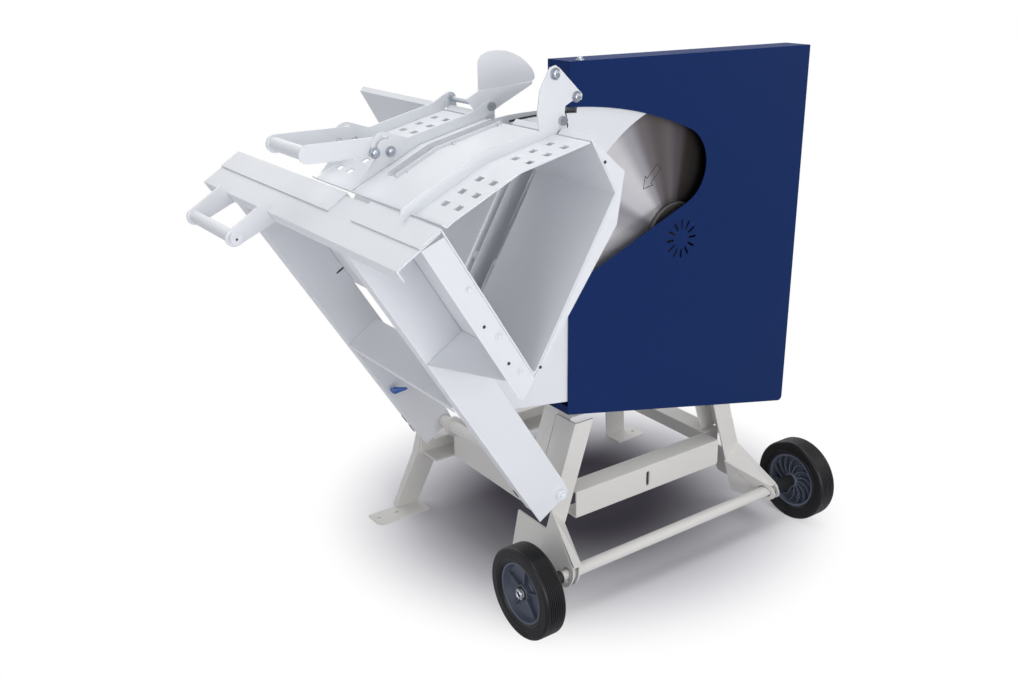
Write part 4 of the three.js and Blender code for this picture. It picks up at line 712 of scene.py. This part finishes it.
def makeRim(side):
    # Outer face: a smooth deep dish with a few broad webs. Inner face: swept webs close together
    name = "rim_" + side
    outward = outwardOf[side]
    centre = boxCentre(name)
    rim, well, hub, bore = (rimForm[key] for key in ("radius", "wellRadius", "hubRadius", "boreRadius"))
    inside, outside, half = rimForm["hubInside"], rimForm["hubOutside"], rimForm["half"]
    profile = [
        (bore, -inside), (hub - 1.5, -inside), (hub, -inside + 1.5), (hub, -6), (hub + 2.5, -3), (well - 5, -3),
        (well - 1, -7), (well, -half + 2), (well + 1.2, -half), (rim, -half), (rim, half), (well + 2.4, half),
        (well + 1.2, half - 1.4), (well - 0.5, 8), (well - 3, 3.5), (well - 9, 1.2), (hub + 4, 1.2), (hub + 1, 3),
        (hub, 6), (hub, outside - 1.2), (hub - 1.2, outside), (bore, outside), (bore, -inside),
    ]
    shell = turnedWheelPart(name + "Shell", profile, outward, centre, steps=96)
    webs = [makeWeb(form, i, outward) for form in (outerWebs, innerWebs) for i in range(form["count"])]
    for web in webs:
        web.data.transform(Matrix.Translation(centre))
    piece = joinPieces([shell] + webs, name + "Shell")
    smoothByAngle(piece)
    finishPiece(piece, bodyOfNode[name], "rim_slate", [name])
    collar = turnedWheelPart(name + "Bush", rimForm["bush"], outward, centre, steps=48)
    smoothByAngle(collar)
    finishPiece(collar, bodyOfNode[name], "black_plastic")


def makePushCap(side):
    # Pressed star nut: a flat collar with a crown of bent teeth round the axle's dark end
    name = "hub_cap_" + side
    outward = outwardOf[side]
    low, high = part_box(name)
    face = low[0] if side == "right" else high[0]
    centre = Vector((face, (low[1] + high[1]) / 2, (low[2] + high[2]) / 2))
    crown = turnedWheelPart(name + "Star", capForm["collar"], outward, centre, steps=48)
    teeth = []
    for i in range(capForm["teeth"]):
        tooth = addShape(bpy.ops.mesh.primitive_cube_add, size=1,
            location=(outward * capForm["toothOut"] * mm, 0, capForm["toothRadius"] * mm),
            scale=[length * mm for length in capForm["toothSize"]])
        applyPlace(tooth)
        editMesh(tooth, (bpy.ops.mesh.bevel, {"offset": capForm["toothEdge"] * mm, "segments": 2}))
        turn = Matrix.Rotation(2 * math.pi * i / capForm["teeth"], 4, "X")
        tooth.data.transform(Matrix.Translation(centre) @ turn)
        teeth.append(tooth)
    piece = joinPieces([crown] + teeth, name + "Star")
    smoothByAngle(piece, 40)
    finishPiece(piece, bodyOfNode[name], "zinc", [name])
    core = turnedWheelPart(name + "Core", capForm["core"], outward, centre, steps=32)
    smoothByAngle(core)
    finishPiece(core, bodyOfNode[name], "black_plastic")


for side in ("left", "right"):
    makeTyre(side)
    makeRim(side)
    makePushCap(side)

print("stage: axle, tubes and bars")
axleForm = {
    "tubeRadius": 13, "tubeReach": 308, "stubRadius": 10, "edge": 0.8, "middleFromPivot": 297,
    "sleeveRadius": 14, "sleeveFoot": 333, "sleeveReach": 392, "sleeveEdge": 0.6, "sleeveGap": 0.1,
}


def alongAxle(x):
    # A place measured from the middle of the wheel axle, in millimetres, as the frame's X
    return pivotPlace.x + (x + axleForm["middleFromPivot"]) * mm


def makeAxle():
    form = axleForm
    low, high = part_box("axle")
    centre = Vector((0, (low[1] + high[1]) / 2, (low[2] + high[2]) / 2))
    tubeLow, tubeHigh = alongAxle(-form["tubeReach"]), alongAxle(form["tubeReach"])
    tube, stub, edge = form["tubeRadius"] * mm, form["stubRadius"] * mm, form["edge"] * mm
    profile = [
        (0, low[0]), (stub - edge, low[0]), (stub, low[0] + edge), (stub, tubeLow), (tube - edge, tubeLow),
        (tube, tubeLow + edge), (tube, tubeHigh - edge), (tube - edge, tubeHigh), (stub, tubeHigh),
        (stub, high[0] - edge), (stub - edge, high[0]), (0, high[0]),
    ]
    piece = turned("axleTube", profile, centre, alongX, steps=64)
    smoothByAngle(piece)
    finishPiece(piece, "base", "frame_grey", ["axle"])
    sleeves = []
    foot, reach = form["sleeveFoot"], form["sleeveReach"]
    inner, sleeve, edge = stub + form["sleeveGap"] * mm, form["sleeveRadius"] * mm, form["sleeveEdge"] * mm
    for start, end in ((alongAxle(-reach), alongAxle(-foot)), (alongAxle(foot), alongAxle(reach))):
        profile = [
            (inner, start), (sleeve - edge, start), (sleeve, start + edge), (sleeve, end - edge),
            (sleeve - edge, end), (inner, end), (inner, start),
        ]
        sleeves.append(turned("axleSleeve", profile, centre, alongX, steps=48))
    spacers = joinPieces(sleeves, "axleSleeves")
    smoothByAngle(spacers)
    finishPiece(spacers, "base", "black_plastic")


makeAxle()

print("stage: bolts and screws")
boltForm = {
    "acrossFlats": 13, "headHigh": 5.5, "headEdge": 0.7, "washerRadius": 11, "washerHigh": 1.6,
    "endRadius": 3.6, "endHigh": 2.2, "endEdge": 0.5, "endSunk": 0.2, "domeRadius": 5, "domeFlatness": 0.6,
}


def addRod(sides, radius, high, middle):
    # A cylinder along Z in millimetres, its middle at a height above zero
    return addShape(bpy.ops.mesh.primitive_cylinder_add, vertices=sides, radius=radius * mm, depth=high * mm,
        location=(0, 0, middle * mm))


def boltMaster():
    # Hexagon head on a flat washer, its axis along Z with the washer's face at zero
    form = boltForm
    corner = form["acrossFlats"] / math.sqrt(3)
    head = addRod(6, corner, form["headHigh"], form["washerHigh"] + form["headHigh"] / 2)
    editMesh(head, (bpy.ops.mesh.bevel, {"offset": form["headEdge"] * mm, "segments": 2}))
    applyPlace(head)
    washer = addRod(28, form["washerRadius"], form["washerHigh"], form["washerHigh"] / 2)
    applyPlace(washer)
    top = form["washerHigh"] + form["headHigh"]
    end = addRod(16, form["endRadius"], form["endHigh"], top + form["endHigh"] / 2 - form["endSunk"])
    editMesh(end, (bpy.ops.mesh.bevel, {"offset": form["endEdge"] * mm, "segments": 1}))
    applyPlace(end)
    return joinPieces([head, washer, end], "boltMaster")


def domeMaster():
    # Low round-headed screw, its axis along Z with its seat at zero
    dome = addShape(bpy.ops.mesh.primitive_uv_sphere_add, segments=20, ring_count=12,
        radius=boltForm["domeRadius"] * mm, location=(0, 0, 0))
    editMesh(dome, (bpy.ops.mesh.bisect,
        {"plane_co": (0, 0, 0), "plane_no": (0, 0, 1), "clear_inner": True, "use_fill": True}))
    dome.scale = (1, 1, boltForm["domeFlatness"])
    applyPlace(dome)
    dome.name = "domeMaster"
    return dome


def placeCopies(master, name, places, body, slot, material=None):
    # Each place is (point, outward direction, size, turn)
    copies = []
    for point, outward, size, spin in places:
        copy = linkObject(name, master.data.copy())
        turn = Vector(outward).to_track_quat("Z", "Y").to_matrix().to_4x4()
        spun = turn @ Matrix.Rotation(math.radians(spin), 4, "Z") @ Matrix.Scale(size, 4)
        copy.data.transform(Matrix.Translation(point) @ spun)
        copies.append(copy)
    piece = joinPieces(copies, name)
    smoothByAngle(piece, 35)
    finishPiece(piece, body, slot, material=material)


hexBolt = boltMaster()
domeScrew = domeMaster()
towardsOperator = (0, -1, 0)
upFromRocker = Vector((-math.sin(rockerTilt), 0, math.cos(rockerTilt)))

placeCopies(hexBolt, "holdDownBolts", [
    (rockerPoint(386, -52.6, 805), towardsOperator, 0.95, 10),
    (rockerPoint(404, -52.6, 744), towardsOperator, 0.9, 25),
    (rockerPoint(137, 167.8, 793), towardsOperator, 0.95, 0),
    (rockerPoint(110, 167.8, 811), towardsOperator, 0.95, 20),
    (rockerPoint(137, 314.8, 792), towardsOperator, 0.95, 12),
    (rockerPoint(112, 314.8, 811), towardsOperator, 0.95, 32),
], "hold_down", "zinc")

placeCopies(domeScrew, "slotScrews", [(rockerPoint(*place), upFromRocker, 0.7, 0) for place in (
    (118, 97, 774), (136, 140, 773), (219, 140, 757), (221, 97, 757), (300, 140, 729), (318, 97, 723),
)], "hold_down", "zinc")

placeCopies(hexBolt, "gableBolts", [
    (rockerPoint(across, -150.2, up), towardsOperator, 0.7, 15) for across, up in ((9, 669), (9, 560), (6, 474))
], "rocker", "rocker_white")

placeCopies(hexBolt, "pivotBolt", [
    (rockerPoint(0, 42.6, 0), towardsOperator, 0.95, 10),
], "rocker", "zinc", paintedSteel)

# Painted shade: small dark domes stand in for the shade inside holes at the rocker's near end
placeCopies(domeScrew, "paintedShadeBandHoles", [(rockerPoint(across, -150.1, up), towardsOperator, 0.62, 0) for across, up in (
    (-4, 595), (-3, 504), (340, 668), (42, 449),
)], "rocker", "black_plastic", inkAndPaintedShade)

# Painted shade: a dark dome stands in for the shade in the open near end of the lower handle's bar
handleEnd = rockerPoint(handleForm["across"], handleForm["near"] + 0.2, handleForm["up"])
placeCopies(domeScrew, "handleHolePaintedShade", [
    (handleEnd, towardsOperator, handleForm["dotSize"], 0),
], "rocker", "black_plastic", inkAndPaintedShade)

guardLow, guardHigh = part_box("guard_front")
placeCopies(hexBolt, "guardTopNut", [
    (Vector((-0.0014, guardLow[1] + 12 * mm, guardHigh[2] - 0.3 * mm)), (0, 0, 1), 0.8, 20),
], "base", "zinc")

for master in (hexBolt, domeScrew):
    bpy.data.objects.remove(master)

print("stage: dark slots")
slotDeep = 0.5  # millimetres
towardsLow = Vector((-math.cos(rockerTilt), 0, -math.sin(rockerTilt)))


def paintedShadeSlots(name, places, body):
    # Slots through the sheet, shown as dark ovals of painted shade let into it: (point, outward, along, length,
    # width)
    ovals = []
    for point, outward, along, length, width in places:
        oval = addShape(bpy.ops.mesh.primitive_cylinder_add, vertices=32, radius=0.5, depth=1)
        oval.scale = (length * mm, width * mm, slotDeep * mm)
        applyPlace(oval)
        side = Vector(outward).cross(Vector(along)).normalized()
        turn = Matrix((Vector(along).normalized(), side, Vector(outward).normalized())).transposed()
        oval.data.transform(Matrix.Translation(point) @ turn.to_4x4())
        ovals.append(oval)
    piece = joinPieces(ovals, name)
    smoothByAngle(piece, 35)
    finishPiece(piece, body, "black_plastic", material=inkAndPaintedShade)


# Painted shade in two dashes at the far side, and in a pair of slots in each leg's left edge near its foot
paintedShadeSlots("legSlotsPaintedShade", [
    (Vector((-0.3343, 0.251, 0.6959)), towardsOperator, (0.023, 0, 0.014), 25, 4.5),
    (Vector((-0.2405, 0.251, 0.7478)), towardsOperator, (0.021, 0, 0.0148), 25, 4.5),
] + [
    (rockerPoint(-71, along, up), towardsLow, upFromRocker, 27, 11) for along in (76.5, 540.5) for up in (68, 32)
], "rocker")
# Painted shade: a dark oval at the front beam's slot stands in for the shade inside the hollow beam
paintedShadeSlots("beamSlotPaintedShade", [(Vector((0.2105, -0.1695, 0.1942)), towardsOperator, (0, 0, 1), 44, 20)], "base")

print("stage: chain and blade mark")
chainForm = {
    "start": (374, -43, 736), "lean": 6, "drop": 29,
    "links": 4, "linkRadius": 4.2, "wireRadius": 1.1, "stretch": 1.5,
}


def makeChain():
    # The short chain that hangs free behind the tall bracket
    start = rockerPoint(*chainForm["start"])
    end = start + Vector((chainForm["lean"] * mm, 0, -chainForm["drop"] * mm))
    turn = (end - start).to_track_quat("Y", "Z").to_matrix().to_4x4()
    links = []
    for i in range(chainForm["links"]):
        place = start.lerp(end, (i + 0.5) / chainForm["links"])
        link = addShape(bpy.ops.mesh.primitive_torus_add, major_segments=16, minor_segments=6,
            major_radius=chainForm["linkRadius"] * mm, minor_radius=chainForm["wireRadius"] * mm)
        link.scale = (1, chainForm["stretch"], 1)
        applyPlace(link)
        quarter = Matrix.Rotation(math.radians(90 * (i % 2)), 4, "Y")
        link.data.transform(Matrix.Translation(place) @ turn @ quarter)
        links.append(link)
    piece = joinPieces(links, "liftChain")
    smoothByAngle(piece, 60)
    finishPiece(piece, "rocker", "black_plastic")


makeChain()

arrowForm = {
    "tail": (228.9, 915.4), "lean": 225, "length": 62, "headLong": 24, "headHalf": 17, "shaftHalf": 8.5,
    "lineWide": 1.6, "proud": 0.12, "thick": 0.096, "bladeFace": 116.5,
}


def makeArrow():
    # The turning direction etched on the blade as an outlined arrow that points down and to the left
    form = arrowForm
    face = shiftY + form["bladeFace"] * mm
    shaft = form["length"] - form["headLong"]
    outline = [(0, form["shaftHalf"]), (shaft, form["shaftHalf"]), (shaft, form["headHalf"]), (form["length"], 0),
        (shaft, -form["headHalf"]), (shaft, -form["shaftHalf"]), (0, -form["shaftHalf"])]
    lean = math.radians(form["lean"])
    points = []
    for along, across in outline:
        x = form["tail"][0] + along * math.cos(lean) - across * math.sin(lean)
        z = form["tail"][1] + along * math.sin(lean) + across * math.cos(lean)
        points.append((x * mm, face - form["proud"] * mm, z * mm))
    mesh = bpy.data.meshes.new("bladeArrow")
    mesh.from_pydata(points, [], [tuple(range(len(points)))])
    piece = linkObject("bladeArrow", mesh)
    # Only the rim of the inset stays, as the arrow's line
    makeActive(piece)
    bpy.ops.object.mode_set(mode="EDIT")
    bpy.ops.mesh.select_all(action="SELECT")
    bpy.ops.mesh.inset(thickness=form["lineWide"] * mm)
    bpy.ops.mesh.delete(type="FACE")
    bpy.ops.object.mode_set(mode="OBJECT")
    editMesh(piece,
        (bpy.ops.mesh.extrude_region_move, {"TRANSFORM_OT_translate": {"value": (0, form["thick"] * mm, 0)}}),
        (bpy.ops.mesh.normals_make_consistent, {"inside": False}))
    finishPiece(piece, bodyOfNode["blade"], "black_plastic", material=inkAndPaintedShade)


makeArrow()
